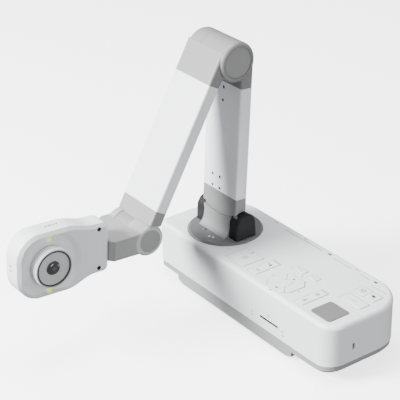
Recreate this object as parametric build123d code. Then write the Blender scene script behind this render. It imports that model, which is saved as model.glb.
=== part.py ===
"""Desktop document camera: a long low base, a pan turntable, a two-part folding arm and a camera head.

Frame: millimetres, +Z up, table at z = 0, X along the base, -Y towards the document.
The origin is on the table under the middle of the base.
"""
import os
from math import cos, radians, sin

from build123d import *

# ---------------------------------------------------------------- driving dimensions
# base casing
BASE_LENGTH = 317.6
BASE_WIDTH = 115.0
BASE_TOP = 71.7
SEAM_Z = 19.0
SHELL_WALL = 2.5
TOP_EDGE_R = 5.0
CORNERS = [(-1, -1, 11.0), (1, -1, 21.0), (1, 1, 46.0), (-1, 1, 52.0)]
BAND_Z = 8.8
BAND_INSET = 0.9
BAND_CHAMFER = 2.6
END_RISE_X = (122.0, 164.0)
SEAM_RISE = 5.4
BAND_RISE = 8.2
PLINTH_Z = 2.2
PLINTH_X = (-120.0, 93.0)
PLINTH_SLOPE = 9.0
PLINTH_INSET = 1.0
FOOT_R = 7.5
FOOT_X = (-104.0, 72.0)
FOOT_SIDE = 12.0
SCREW_R = 3.0
# card slot, lock slot and sockets
CARD_SLOT_X = (39.0, 71.0)
CARD_RISE = 13.5
CARD_HALF = 1.3
CARD_DEPTH = 27.5
READER_WALL = 2.0
LOCK_Y = -24.7
LOCK_RISE = 22.0
LOCK_HALF = 1.6
LOCK_TALL = 4.0
LOCK_PLATE = (8.0, 9.0)
PORT_X = (-2.0, 100.0)
PORT_RISE = (12.0, 36.0)
PORT_RECESS = 0.8
SOCKET_DEPTH = 16.0
SOCKETS = [
    ("round", 10.0, 9.0, 9.0),
    ("wide", 34.0, 17.0, 10.0),
    ("wide", 58.0, 15.0, 7.0),
    ("wide", 78.0, 13.0, 7.0),
    ("round", 92.0, 7.0, 7.0),
]
# inside the base
FLOOR = 2.2
SCREW_PLACES = [(-130.0, -38.0), (-128.0, 36.0), (24.5, -46.0), (-1.0, 45.0), (105.5, -46.0), (112.0, 44.0)]
BALLAST_X = (-92.0, 76.0)
BALLAST_HALF = 38.0
BALLAST_THICK = 10.0
BOARD_RISE = 8.0
BOARD_THICK = 1.6
BOARD_X = (-30.0, 112.0)
BOARD_Y = (-34.0, 50.0)
BOARD_POSTS_X = (-24.0, 74.0)
BOARD_POSTS_Y = (-28.0, 38.0)
BOARD_POST_R = 3.0
# pan turntable
PAN_X = -91.5
PAN_Y = -6.7
PAN_R = 45.4
PAN_GAP = 0.5
PAN_SHELF_DROP = 8.2
PAN_BOSS_R = 16.0
DISC_RISE = 2.2
# tilt hinge
TILT_Y = PAN_Y + 1.2
TILT_Z = 90.5
TILT_PIN_R = 4.0
TILT_BARREL_R = 11.4
CRADLE_LIP = 9.6
CRADLE_SAG = 3.0
CRADLE_FRONT = 13.6
CRADLE_SKIRT = 8.0
TILT_BARREL_HALF = 24.9
CAP_R = 14.0
CAP_FLARE = 0.8
CAP_BEVEL = 1.4
CAP_HALF = (25.3, 39.6)
CAP_WALL = 2.0
# arms
ARM_WIDTH = 64.4
ARM_THICK = 16.0
ARM_EDGE_R = 2.6
ARM_WALL = 1.8
LOWER_TILT = -3.16
LOWER_OFFSET = -3.3
LOWER_LENGTH = 204.5
FOOT_COLLAR = 32.6
ELBOW_COLLAR = 34.6
UPPER_TILT = -29.52
UPPER_LENGTH = 221.0
WRIST_COLLAR = 34.5
WRIST_OFFSET = 14.9
SPIGOT = 14.0
COLLAR_EDGE = 0.35
LOWER_SCREWS = [(-14.2, 50.4), (-0.5, 50.4), (-14.2, 35.9), (-0.5, 35.9), (0.0, 163.1), (-0.8, 147.0)]
# elbow hinge
ELBOW_R = 23.4
ELBOW_FACE = 24.4
ELBOW_LIP = 4.0
ELBOW_NEAR = 35.8
ELBOW_SPLIT = -10.0
ELBOW_FILLET = 4.5
ELBOW_PIN_R = 5.0
ELBOW_CAP_R = 17.8
# wrist hinge
WRIST_TILT = -3.4
WRIST_R = 18.8
WRIST_NEAR = 31.0
TONGUE = (-20.0, 6.0)
WRIST_PIN_R = 4.0
WRIST_CAP_R = 13.3
BLOCK_END = 51.4
BLOCK_TOP = 12.4
BLOCK_BOTTOM = 14.2
BLOCK_LOW_EDGE = 3.2
BLOCK_TAPER = 15.5
# head
ROLL_X = 7.5
ROLL_BUSH_R = 9.5
ROLL_DEPTH = 24.0
ROLL_SHAFT_R = 7.0
HEAD_RISE = 4.4
HEAD_START = 52.0
HEAD_BACK = -5.0
HEAD_SEAM = 23.0
HEAD_FACE = 26.0
HEAD_WALL = 2.2
HEAD_END_HIGH = 31.0
HEAD_END_LOW = 27.8
HEAD_END_R = 6.0
HEAD_NECK = 66.0
HEAD_SHOULDER = 106.0
HEAD_HALF = 38.0
HEAD_CORNER_R = 28.0
HEAD_TIP = 165.4
LENS_Y = 126.6
LENS_Z = -1.0
BARREL_R = 20.8
BARREL_FRONT = 34.6
TRIM_DEPTH = 1.2
TRIM_WIDTH = 1.6
FUNNEL_STEPS = 5
FUNNEL_DROP = 0.22
RING_FRONT_R = 22.0
RING_BASE_R = 23.2
GLASS_R = 8.2
GLASS_BACK = 24.0
GLASS_ROUND = 3.6
DISH_R = 39.0
DISH_SLOPE = 6.0
DISH_DEPTH = 3.0
DISH_RIM = 4.4
LAMP_R = 3.2
LAMP_OFFSET = 31.1
HEAD_SCREW_Y = 64.5
HEAD_SCREW_Z = 23.7
HEAD_SCREW_RISE = 2.0
# keys on the panel: the name and its outline as (x0, x1, y0, y1)
KEYS = {
    "power_key": (-36.5, -5.5, -47.0, -17.0),
    "zoom_in_key": (4.0, 17.0, -29.1, -12.0),
    "zoom_out_key": (4.0, 17.0, -47.0, -29.8),
    "menu_key": (31.0, 49.0, -4.0, 4.0),
    "source_key": (57.5, 70.0, -4.0, 5.0),
    "bright_up_key": (87.0, 99.0, -28.9, -11.0),
    "bright_down_key": (87.0, 99.0, -47.5, -29.5),
    "capture_key": (112.0, 143.5, -47.5, -17.0),
    "freeze_key": (111.0, 143.5, -4.0, 10.0),
    "split_key": (110.0, 125.4, 18.0, 32.0),
    "rotate_key": (126.0, 141.5, 18.0, 32.0),
}
NAV_X = 52.5
NAV_Y = -31.5
NAV_HALF = 18.5
NAV_CUT = 8.0
NAV_CENTRE_R = 6.5
KEY_CORNER_R = 1.6
CAPTURE_CORNER_R = 4.0
POWER_MARK = (-19.7, -32.0)
POWER_MARK_R = 4.0
KEY_GAP = 0.35
KEY_RISE = 0.6
KEY_TRAVEL = 0.9
KEY_FLANGE = 1.2
KEY_LIP = 1.0
# clearances
RUN = 0.05
SEAT = 0.1
GAP = 0.3
SWEEP = 0.4

HALF_L = BASE_LENGTH / 2
HALF_W = BASE_WIDTH / 2
ARM_HALF = ARM_WIDTH / 2
ELBOW_FAR = -ARM_HALF
WRIST_FAR = -ARM_HALF
ARM_OFFSET = ELBOW_FACE - ARM_THICK / 2
SHELF_TOP = BASE_TOP - PAN_SHELF_DROP
DISC_UNDER = SHELF_TOP + 1.0 + GAP
DISC_TOP = BASE_TOP + DISC_RISE
CRADLE_FOOT = TILT_Z - DISC_TOP
LOWER_ELBOW_Y = LOWER_OFFSET - ARM_OFFSET
PANEL_UNDER = BASE_TOP - SHELL_WALL
KEY_TOP = BASE_TOP + KEY_RISE
FLANGE_TOP = PANEL_UNDER - SEAT
FLANGE_UNDER = FLANGE_TOP - KEY_FLANGE
SWITCH_TOP = FLANGE_UNDER - KEY_TRAVEL - GAP
KEY_BOARD_Z = SWITCH_TOP - 3.6
CARD_Z = SEAM_Z + CARD_RISE
LOCK_Z = SEAM_Z + LOCK_RISE
PORT_Z = (SEAM_Z + PORT_RISE[0], SEAM_Z + PORT_RISE[1])
PORT_MID_Z = (PORT_Z[0] + PORT_Z[1]) / 2
BOARD_Z = SEAM_Z + BOARD_RISE
BOARD_POSTS = [(x, y) for x in BOARD_POSTS_X for y in BOARD_POSTS_Y]
FOOT_PLACES = [(x, s * (HALF_W - FOOT_SIDE)) for x in FOOT_X for s in (-1, 1)]

nodes = {}


# ---------------------------------------------------------------- small builders
def box(x0, x1, y0, y1, z0, z1):
    return Pos((x0 + x1) / 2, (y0 + y1) / 2, (z0 + z1) / 2) * Box(x1 - x0, y1 - y0, z1 - z0)


def post(radius, x, y, z0, z1):
    return Pos(x, y, (z0 + z1) / 2) * Cylinder(radius, z1 - z0)


def axle(radius, x0, x1, y=0.0, z=0.0):
    return Pos((x0 + x1) / 2, y, z) * Rot(0, 90, 0) * Cylinder(radius, x1 - x0)


def spindle(radius, y0, y1, x=0.0, z=0.0):
    return Pos(x, (y0 + y1) / 2, z) * Rot(90, 0, 0) * Cylinder(radius, y1 - y0)


def side_profile(points, x0, x1):
    """A closed outline in (y, z) drawn from x0 to x1."""
    face = make_face(Polyline(*[(0, y, z) for y, z in points], close=True))
    return Pos(x0, 0, 0) * extrude(face, x1 - x0, dir=(1, 0, 0))


def arm_bar(z0, z1, y_mid, shrink=0.0):
    """A length of the arm's flat section, its wide side along X."""
    edge_r = ARM_EDGE_R - min(shrink, 1.6)
    section = RectangleRounded(ARM_WIDTH - 2 * shrink, ARM_THICK - 2 * shrink, edge_r)
    return Pos(0, y_mid, z0) * extrude(section, z1 - z0)


def end_edges(shape, radius, x):
    """The round edges of a given radius at the plane x."""
    found = shape.edges().filter_by(GeomType.CIRCLE)
    return [e for e in found if abs(e.radius - radius) < 0.01 and abs(e.center().X - x) < 0.01]


def group(solids):
    return Compound(children=list(solids))


def common(shape, tool):
    """The part of a shape that lies inside a tool."""
    return shape - (shape - tool)


def as_one(shape):
    """Separate solids of one piece, kept together as one node."""
    solids = shape.solids()
    return solids[0] if len(solids) == 1 else group(solids)


# ---------------------------------------------------------------- base casing
def plan(inset):
    """The base's outline seen from above, its four corners rounded differently."""
    half_l = HALF_L - inset
    half_w = HALF_W - inset
    face = Rectangle(2 * half_l, 2 * half_w)
    for side_x, side_y, radius in CORNERS:
        corner = Vector(side_x * half_l, side_y * half_w, 0)
        vertex = face.vertices().sort_by_distance(corner)[0]
        face = fillet(vertex, radius - inset)
    return face


def slab(inset, z0, z1):
    return Pos(0, 0, z0) * extrude(plan(inset), z1 - z0)


def key_corner(name):
    return CAPTURE_CORNER_R if name == "capture_key" else KEY_CORNER_R


def key_section(name, grow_x, grow_y):
    x0, x1, y0, y1 = KEYS[name]
    section = RectangleRounded(x1 - x0 + 2 * grow_x, y1 - y0 + 2 * grow_y, key_corner(name))
    return Pos((x0 + x1) / 2, (y0 + y1) / 2, 0) * section


def nav_octagon(grow):
    half = NAV_HALF + grow
    cut = NAV_CUT + 0.41 * grow
    points = [(-half + cut, -half), (half - cut, -half), (half, -half + cut), (half, half - cut)]
    points += [(-x, -y) for x, y in points]
    return Pos(NAV_X, NAV_Y, 0) * make_face(Polyline(*points, close=True))


def raise_between(section, z0, z1):
    return Pos(0, 0, z0) * extrude(section, z1 - z0)


def below(z, rise):
    """Everything under a level that climbs towards the base's lock-slot end."""
    side = HALF_W + 2
    start, end = [(x, side, z + dz) for x, dz in zip(END_RISE_X, (0, rise))]
    corners = [end, (end[0], side, -5), (-HALF_L - 2, side, -5), (-HALF_L - 2, side, z), start]
    outline = Spline(start, end, tangents=((1, 0, 0), (1, 0, 0.35))) + Polyline(*corners)
    return extrude(make_face(outline), 2 * side, dir=(0, -1, 0))


def lock_opening():
    across = (LOCK_Y - LOCK_HALF, LOCK_Y + LOCK_HALF)
    return box(HALF_L - 10, HALF_L + 1, *across, LOCK_Z - LOCK_TALL, LOCK_Z + LOCK_TALL)


def build_top_cover():
    shell = slab(0, SEAM_Z, BASE_TOP) - below(SEAM_Z, SEAM_RISE)
    shell = fillet(shell.faces().sort_by(Axis.Z)[-1].edges(), TOP_EDGE_R)
    hollow = slab(SHELL_WALL, SEAM_Z - 1, PANEL_UNDER)
    hollow = fillet(hollow.faces().sort_by(Axis.Z)[-1].edges(), TOP_EDGE_R - SHELL_WALL)
    shell -= hollow
    for x, y in SCREW_PLACES:
        shell += post(SCREW_R + 1.6, x, y, SEAM_Z + SEAT, PANEL_UNDER + 0.5)
        shell -= post(1.3, x, y, SEAM_Z, SEAM_Z + 14)
    shell += post(PAN_R + 2, PAN_X, PAN_Y, SHELF_TOP - 2.5, PANEL_UNDER + 1)
    shell -= post(PAN_R, PAN_X, PAN_Y, SHELF_TOP, BASE_TOP + 1)
    shell -= post(PAN_BOSS_R + RUN, PAN_X, PAN_Y, SHELF_TOP - 3, SHELF_TOP + 1)
    for name in KEYS:
        shell -= raise_between(key_section(name, KEY_GAP, KEY_GAP), PANEL_UNDER - 1, BASE_TOP + 1)
    shell -= raise_between(nav_octagon(KEY_GAP), PANEL_UNDER - 1, BASE_TOP + 1)
    card_y = (-HALF_W - 1, -HALF_W + SHELL_WALL + 1)
    shell -= box(*CARD_SLOT_X, *card_y, CARD_Z - CARD_HALF, CARD_Z + CARD_HALF)
    shell -= lock_opening()
    shell -= box(*PORT_X, HALF_W - SHELL_WALL - 1, HALF_W + 1, *PORT_Z)
    return shell


def underside(x):
    """Height of the casing's underside at x: the plinth in the middle, the band at the ends."""
    on_plinth = PLINTH_X[0] + PLINTH_SLOPE < x < PLINTH_X[1] - PLINTH_SLOPE
    return PLINTH_Z if on_plinth else BAND_Z


def build_bottom_cover():
    band = common(slab(BAND_INSET, BAND_Z - 1, SEAM_Z + SEAM_RISE), below(SEAM_Z, SEAM_RISE))
    band -= below(BAND_Z, BAND_RISE)
    under = [f for f in band.faces() if f.normal_at().Z < -0.8]
    rim = [e for f in under for e in f.edges() if abs(e.center().Y) > 1 or abs(e.center().X) > 150]
    band = chamfer(rim, BAND_CHAMFER)
    foot_y = HALF_W - PLINTH_INSET
    foot = box(*PLINTH_X, -foot_y, foot_y, PLINTH_Z, BAND_Z + 4)
    low_edges = foot.edges().filter_by(Axis.Y).group_by(Axis.Z)[0]
    foot = chamfer(low_edges, PLINTH_SLOPE / 3, PLINTH_SLOPE)
    tray = band + foot
    hollow = slab(BAND_INSET + BAND_CHAMFER + SHELL_WALL, BAND_Z + FLOOR, SEAM_Z + 9)
    tray -= hollow - below(BAND_Z + FLOOR, BAND_RISE)
    well_y = foot_y - SHELL_WALL
    tray -= box(PLINTH_X[0] + PLINTH_SLOPE + 3, PLINTH_X[1] - PLINTH_SLOPE - 3, -well_y + 4, well_y - 4,
                PLINTH_Z + FLOOR, SEAM_Z + 1)
    for x, y in SCREW_PLACES:
        low = underside(x)
        tray += post(SCREW_R + 1.6, x, y, low + FLOOR - 0.5, SEAM_Z)
        tray -= post(1.7, x, y, low - 1, SEAM_Z + 1)
        tray -= post(SCREW_R + 0.2, x, y, low - 1, low + 2.4)
    for x, y in FOOT_PLACES:
        tray -= post(FOOT_R + SEAT, x, y, PLINTH_Z - 1, PLINTH_Z + 1.0)
    for x, y in BOARD_POSTS:
        tray += post(BOARD_POST_R, x, y, PLINTH_Z + FLOOR - 0.5, BOARD_Z)
    return tray


def build_base():
    nodes["top_cover"] = build_top_cover()
    nodes["bottom_cover"] = build_bottom_cover()
    nodes["rubber_feet"] = group(post(FOOT_R, x, y, 0, PLINTH_Z + 1.0) for x, y in FOOT_PLACES)
    screws = []
    for x, y in SCREW_PLACES:
        low = underside(x)
        head = post(SCREW_R, x, y, low + 0.4, low + 2.4) - post(1.2, x, y, low, low + 1.4)
        screws.append(head + post(1.25, x, y, low + 2.3, SEAM_Z + 12))
    nodes["case_screws"] = group(screws)
    plate_low = PLINTH_Z + FLOOR
    plate = box(*BALLAST_X, -BALLAST_HALF, BALLAST_HALF, plate_low, plate_low + BALLAST_THICK)
    for x, y in BOARD_POSTS:
        plate -= post(BOARD_POST_R + GAP, x, y, 0, SEAM_Z)
    nodes["ballast_plate"] = plate
    board = box(*BOARD_X, *BOARD_Y, BOARD_Z, BOARD_Z + BOARD_THICK)
    for x, y in SCREW_PLACES:
        board -= post(SCREW_R + 2.2, x, y, BOARD_Z - 1, BOARD_Z + 3)
    chips = box(10, 32, -4, 18, BOARD_Z + BOARD_THICK, BOARD_Z + BOARD_THICK + 2.4)
    chips += box(46, 62, 4, 20, BOARD_Z + BOARD_THICK, BOARD_Z + BOARD_THICK + 1.6)
    nodes["main_board"] = board + chips
    slot_low = CARD_Z - CARD_HALF
    slot_high = CARD_Z + CARD_HALF
    slot_end = -HALF_W + CARD_DEPTH
    reader_x = (CARD_SLOT_X[0] - READER_WALL, CARD_SLOT_X[1] + READER_WALL)
    reader_y = (-HALF_W + SHELL_WALL + SEAT, slot_end + READER_WALL)
    reader = box(*reader_x, *reader_y, slot_low - READER_WALL, slot_high + READER_WALL)
    reader -= box(*CARD_SLOT_X, -HALF_W, slot_end, slot_low, slot_high)
    nodes["card_reader"] = reader
    lock_x = (HALF_L - SHELL_WALL - 2.0, HALF_L - SHELL_WALL - SEAT)
    half_y, half_z = LOCK_PLATE
    lock = box(*lock_x, LOCK_Y - half_y, LOCK_Y + half_y, LOCK_Z - half_z, LOCK_Z + half_z)
    nodes["lock_plate"] = lock - lock_opening()
    nodes["pan_washer"] = Pos(PAN_X, PAN_Y, SHELF_TOP + 0.5) * (Cylinder(40, 1.0) - Cylinder(20, 1.0))


def build_ports():
    inner_y = HALF_W - SHELL_WALL
    face_y = HALF_W - PORT_RECESS
    low_z, high_z = PORT_Z
    panel = box(PORT_X[0] + SEAT, PORT_X[1] - SEAT, inner_y - 1, face_y, low_z + SEAT, high_z - SEAT)
    panel += box(PORT_X[0] - 2, PORT_X[1] + 2, inner_y - 1.6, inner_y - SEAT / 2, low_z - 2, high_z + 2)
    deep = (HALF_W - SOCKET_DEPTH, face_y - GAP)
    floor_y = deep[0] + 1.5
    shells = []
    for kind, x, width, height in SOCKETS:
        if kind == "round":
            panel -= spindle(width / 2 + SEAT, HALF_W - 8, HALF_W + 1, x, PORT_MID_Z)
            shell = spindle(width / 2, *deep, x, PORT_MID_Z)
            shell -= spindle(width / 2 - 1.0, floor_y, HALF_W, x, PORT_MID_Z)
            shell += spindle(0.9, floor_y - 0.5, deep[1] - 2.0, x, PORT_MID_Z)
        else:
            span = (x - width / 2, x + width / 2)
            low = PORT_MID_Z - height / 2
            high = PORT_MID_Z + height / 2
            panel -= box(span[0] - SEAT, span[1] + SEAT, HALF_W - 8, HALF_W + 1, low - SEAT, high + SEAT)
            shell = box(*span, *deep, low, high)
            shell -= box(span[0] + 0.8, span[1] - 0.8, floor_y, HALF_W, low + 0.8, high - 0.8)
            tongue = (PORT_MID_Z - 0.9, PORT_MID_Z + 0.9)
            shell += box(span[0] + 2.4, span[1] - 2.4, floor_y - 0.5, deep[1] - 2.5, *tongue)
        shells.append(shell)
    nodes["port_panel"] = panel
    nodes["port_sockets"] = group(shells)


def build_keys():
    for name in KEYS:
        cap = raise_between(key_section(name, 0, 0), FLANGE_UNDER, KEY_TOP)
        cap = fillet(cap.faces().sort_by(Axis.Z)[-1].edges(), 0.4)
        lip = (0, KEY_LIP) if name in ("split_key", "rotate_key") else (KEY_LIP, 0)
        cap += raise_between(key_section(name, *lip), FLANGE_UNDER, FLANGE_TOP)
        nodes[name] = cap
    half = NAV_HALF + 6
    centre_hole = post(NAV_CENTRE_R + KEY_GAP, NAV_X, NAV_Y, 0, BASE_TOP + 5)
    tip = 1.5 * GAP
    wedge_up = make_face(Polyline((0, tip), (half, half + tip), (-half, half + tip), close=True))
    for turn, name in enumerate(("nav_far_key", "nav_left_key", "nav_near_key", "nav_right_key")):
        wedge = Pos(NAV_X, NAV_Y, 0) * Rot(0, 0, 90 * turn) * extrude(wedge_up, BASE_TOP + 5)
        cap = common(raise_between(nav_octagon(0), FLANGE_UNDER, KEY_TOP), wedge)
        cap -= centre_hole
        cap += common(raise_between(nav_octagon(KEY_LIP), FLANGE_UNDER, FLANGE_TOP), wedge) - centre_hole
        nodes[name] = cap
    enter = post(NAV_CENTRE_R, NAV_X, NAV_Y, FLANGE_UNDER, KEY_TOP + 0.2)
    nodes["enter_key"] = fillet(enter.faces().sort_by(Axis.Z)[-1].edges(), 0.4)
    nodes["power_lamp"] = post(POWER_MARK_R, *POWER_MARK, KEY_TOP - 1.2, KEY_TOP + 0.05)
    nodes["power_key"] -= post(POWER_MARK_R, *POWER_MARK, KEY_TOP - 1.2, KEY_TOP + 1)
    board = box(-34, 146, -48, 34, KEY_BOARD_Z - BOARD_THICK, KEY_BOARD_Z)
    for x, y in SCREW_PLACES:
        board -= post(SCREW_R + 2.2, x, y, KEY_BOARD_Z - 3, KEY_BOARD_Z + 3)
    nodes["key_board"] = board
    centres = [((k[0] + k[1]) / 2, (k[2] + k[3]) / 2) for k in KEYS.values()]
    reach = (NAV_HALF + NAV_CENTRE_R) / 2
    centres += [(NAV_X, NAV_Y), (NAV_X + reach, NAV_Y), (NAV_X - reach, NAV_Y)]
    centres += [(NAV_X, NAV_Y + reach), (NAV_X, NAV_Y - reach)]
    switches = []
    for x, y in centres:
        switch = box(x - 2.5, x + 2.5, y - 2.5, y + 2.5, KEY_BOARD_Z, SWITCH_TOP - 1)
        switches.append(switch + post(1.5, x, y, SWITCH_TOP - 1.5, SWITCH_TOP))
    nodes["key_switches"] = group(switches)


# ---------------------------------------------------------------- pan turntable and tilt hinge


def at_tilt(shape):
    return Pos(PAN_X, TILT_Y, TILT_Z) * shape


def build_turntable():
    rim = PAN_R - PAN_GAP
    disc = Cylinder(rim, BASE_TOP + 0.4 - DISC_UNDER)
    disc = Pos(0, 0, (BASE_TOP + 0.4 + DISC_UNDER) / 2) * disc
    disc = fillet(disc.faces().sort_by(Axis.Z)[-1].edges(), 0.8)
    dome_height = DISC_TOP - BASE_TOP - 0.4
    disc += Pos(0, 0, BASE_TOP + 0.4 + dome_height / 2) * Cone(rim, rim - 1.7, dome_height)
    disc += Pos(0, 0, (SHELF_TOP - 6 + DISC_UNDER) / 2) * Cylinder(PAN_BOSS_R, DISC_UNDER - SHELF_TOP + 6)
    disc -= Cylinder(5.0, 400)
    disc += Pos(-8.9, -24.5, DISC_TOP - 0.2) * Sphere(2.0)
    nodes["turntable_disc"] = Pos(PAN_X, PAN_Y, 0) * disc
    retainer_top = SHELF_TOP - 2.5 - GAP
    retainer = Cylinder(24.0, 2.6) - Cylinder(PAN_BOSS_R + RUN, 2.6)
    nodes["pan_retainer"] = Pos(PAN_X, PAN_Y, retainer_top - 1.3) * retainer

    low = -CRADLE_FOOT
    wide = CRADLE_FRONT + CRADLE_SKIRT
    front = [(-CRADLE_FRONT, CRADLE_LIP), (-CRADLE_FRONT, 0.0), (-CRADLE_FRONT - 0.6, low + 11.0)]
    front += [(-CRADLE_FRONT - 2.2, low + 6.0), (-CRADLE_FRONT - 4.8, low + 2.4), (-wide, low)]
    rear = [(wide, low), (CRADLE_FRONT + 4.8, low + 2.4), (CRADLE_FRONT + 2.2, low + 6.0)]
    rear += [(CRADLE_FRONT + 0.6, low + 11.0)]
    path = Spline(*[(0, y, z) for y, z in front])
    back = Spline(*[(0, y, z) for y, z in rear])
    outline = path + Line((0, *front[-1]), (0, *rear[0])) + back + Line((0, *rear[-1]), (0, *front[0]))
    hub = Pos(-TILT_BARREL_HALF, 0, 0) * extrude(make_face(outline), 2 * TILT_BARREL_HALF, dir=(1, 0, 0))
    hub -= axle(TILT_BARREL_R + SWEEP, -60, 60)
    arm_front = LOWER_OFFSET - ARM_THICK / 2 - SWEEP
    hub -= box(-60, 60, arm_front, 0, 0, 20)
    sag_r = (TILT_BARREL_HALF ** 2 + CRADLE_SAG ** 2) / (2 * CRADLE_SAG)
    hub -= Pos(0, 0, CRADLE_LIP - CRADLE_SAG + sag_r) * Rot(90, 0, 0) * Cylinder(sag_r, 80)
    plate_half = CAP_HALF[1] - CAP_WALL - 0.6
    cheek_r = CAP_R - CAP_WALL - 0.4
    cradle = hub + box(-plate_half, plate_half, -cheek_r, cheek_r, low, low + 4)
    for side in (-1, 1):
        inner = side * (plate_half - 4)
        outer = side * plate_half
        cheek = axle(cheek_r, min(inner, outer), max(inner, outer))
        cheek += box(min(inner, outer), max(inner, outer), -cheek_r, cheek_r, low, 0)
        cradle += cheek
    cradle -= axle(TILT_PIN_R + RUN, -60, 60)
    nodes["tilt_cradle"] = at_tilt(cradle)

    skirt_half = CAP_R + CAP_FLARE
    skirt = [(-CAP_R, 0), (-skirt_half, low + SEAT), (skirt_half, low + SEAT), (CAP_R, 0)]
    caps = []
    for side in (-1, 1):
        x0, x1 = sorted((side * CAP_HALF[0], side * CAP_HALF[1]))
        cap = axle(CAP_R, x0, x1) + side_profile(skirt, x0, x1)
        at_rim = [e for e in cap.edges() if abs(e.center().X - side * CAP_HALF[1]) < 0.01]
        rim_edges = [e for e in at_rim if e.center().Z > low + 1]
        cap = chamfer(rim_edges, CAP_BEVEL)
        inner0, inner1 = sorted((side * (CAP_HALF[0] + CAP_WALL), side * (CAP_HALF[1] - CAP_WALL)))
        hollow_r = CAP_R - CAP_WALL
        cap -= axle(hollow_r, inner0, inner1) + box(inner0, inner1, -hollow_r, hollow_r, low - 1, 0)
        inner_plane = side * CAP_HALF[0]
        notch = sorted((inner_plane - side, inner_plane + side * (CAP_WALL + 1)))
        cap -= box(*notch, -hollow_r, hollow_r, low - 1, low + 4 + SEAT)
        cap -= axle(TILT_PIN_R + GAP, *notch)
        caps.append(cap)
    nodes["tilt_caps"] = at_tilt(group(caps))
    nodes["tilt_pin"] = at_tilt(axle(TILT_PIN_R, -plate_half, plate_half))


# ---------------------------------------------------------------- lower arm
def on_lower(shape):
    """Local frame: origin on the tilt axis, +Z up the arm."""
    return Pos(PAN_X, TILT_Y, TILT_Z) * Rot(LOWER_TILT, 0, 0) * shape


def spigot(z0, z1, y_mid):
    return arm_bar(z0, z1, y_mid, ARM_WALL + SEAT)


def build_lower_arm():
    top_seam = LOWER_LENGTH - ELBOW_COLLAR
    foot = arm_bar(0, FOOT_COLLAR, LOWER_OFFSET)
    foot = chamfer(foot.faces().sort_by(Axis.Z)[-1].edges(), COLLAR_EDGE)
    for side in (-1, 1):
        ends = sorted((side * (TILT_BARREL_HALF), side * 40))
        foot -= axle(CAP_R + 2.0, *ends)
    foot += axle(TILT_BARREL_R, -TILT_BARREL_HALF, TILT_BARREL_HALF)
    foot += spigot(FOOT_COLLAR, FOOT_COLLAR + SPIGOT, LOWER_OFFSET)
    foot -= axle(TILT_PIN_R + RUN, -60, 60)
    nodes["lower_arm_foot"] = on_lower(foot)

    tube = arm_bar(FOOT_COLLAR, top_seam, LOWER_OFFSET)
    tube -= arm_bar(FOOT_COLLAR, top_seam, LOWER_OFFSET, ARM_WALL)
    face_y = LOWER_OFFSET - ARM_THICK / 2
    screws = []
    for x, z in LOWER_SCREWS:
        tube -= spindle(1.9, face_y - 1, face_y + 1.2, x, z) + spindle(1.0, face_y, face_y + 3, x, z)
        head = spindle(1.8, face_y + 0.3, face_y + 1.2, x, z)
        screws.append(head - spindle(0.7, face_y, face_y + 0.8, x, z))
    nodes["lower_arm_tube"] = on_lower(tube)
    nodes["lower_arm_screws"] = on_lower(group(screws))

    hub = Pos(0, LOWER_ELBOW_Y, LOWER_LENGTH)
    housing = arm_bar(top_seam, LOWER_LENGTH, LOWER_OFFSET)
    housing = chamfer(housing.faces().sort_by(Axis.Z)[0].edges(), COLLAR_EDGE)
    housing -= hub * axle(ELBOW_R + GAP, -60, ELBOW_SPLIT)
    barrel = axle(ELBOW_R, ELBOW_SPLIT, ELBOW_NEAR)
    barrel = fillet(end_edges(barrel, ELBOW_R, ELBOW_NEAR), ELBOW_FILLET)
    housing += hub * barrel
    housing += spigot(top_seam - SPIGOT, top_seam, LOWER_OFFSET)
    housing -= hub * axle(ELBOW_CAP_R + SEAT, ELBOW_NEAR - 3.2, ELBOW_NEAR + 1)
    housing -= hub * axle(ELBOW_CAP_R - 2.5, ELBOW_NEAR - 22, ELBOW_NEAR + 1)
    housing -= hub * axle(ELBOW_PIN_R + RUN, -60, 60)
    nodes["elbow_lower_housing"] = on_lower(housing)
    cap = axle(ELBOW_CAP_R, ELBOW_NEAR - 3.2, ELBOW_NEAR - 0.6)
    cap = fillet(end_edges(cap, ELBOW_CAP_R, ELBOW_NEAR - 0.6), 0.5)
    nodes["elbow_near_cap"] = on_lower(hub * cap)


# ---------------------------------------------------------------- upper arm
def elbow_place():
    """Where the elbow axis lies in the part's frame, as (y, z)."""
    turn = radians(LOWER_TILT)
    y = LOWER_ELBOW_Y * cos(turn) - LOWER_LENGTH * sin(turn)
    z = LOWER_ELBOW_Y * sin(turn) + LOWER_LENGTH * cos(turn)
    return TILT_Y + y, TILT_Z + z


def wrist_place():
    y0, z0 = elbow_place()
    turn = radians(UPPER_TILT)
    y = -WRIST_OFFSET * cos(turn) + UPPER_LENGTH * sin(turn)
    z = -WRIST_OFFSET * sin(turn) - UPPER_LENGTH * cos(turn)
    return y0 + y, z0 + z


def on_upper(shape):
    """Local frame: origin on the elbow axis, -Z down the arm to the wrist."""
    y, z = elbow_place()
    return Pos(PAN_X, y, z) * Rot(UPPER_TILT, 0, 0) * shape


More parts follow.
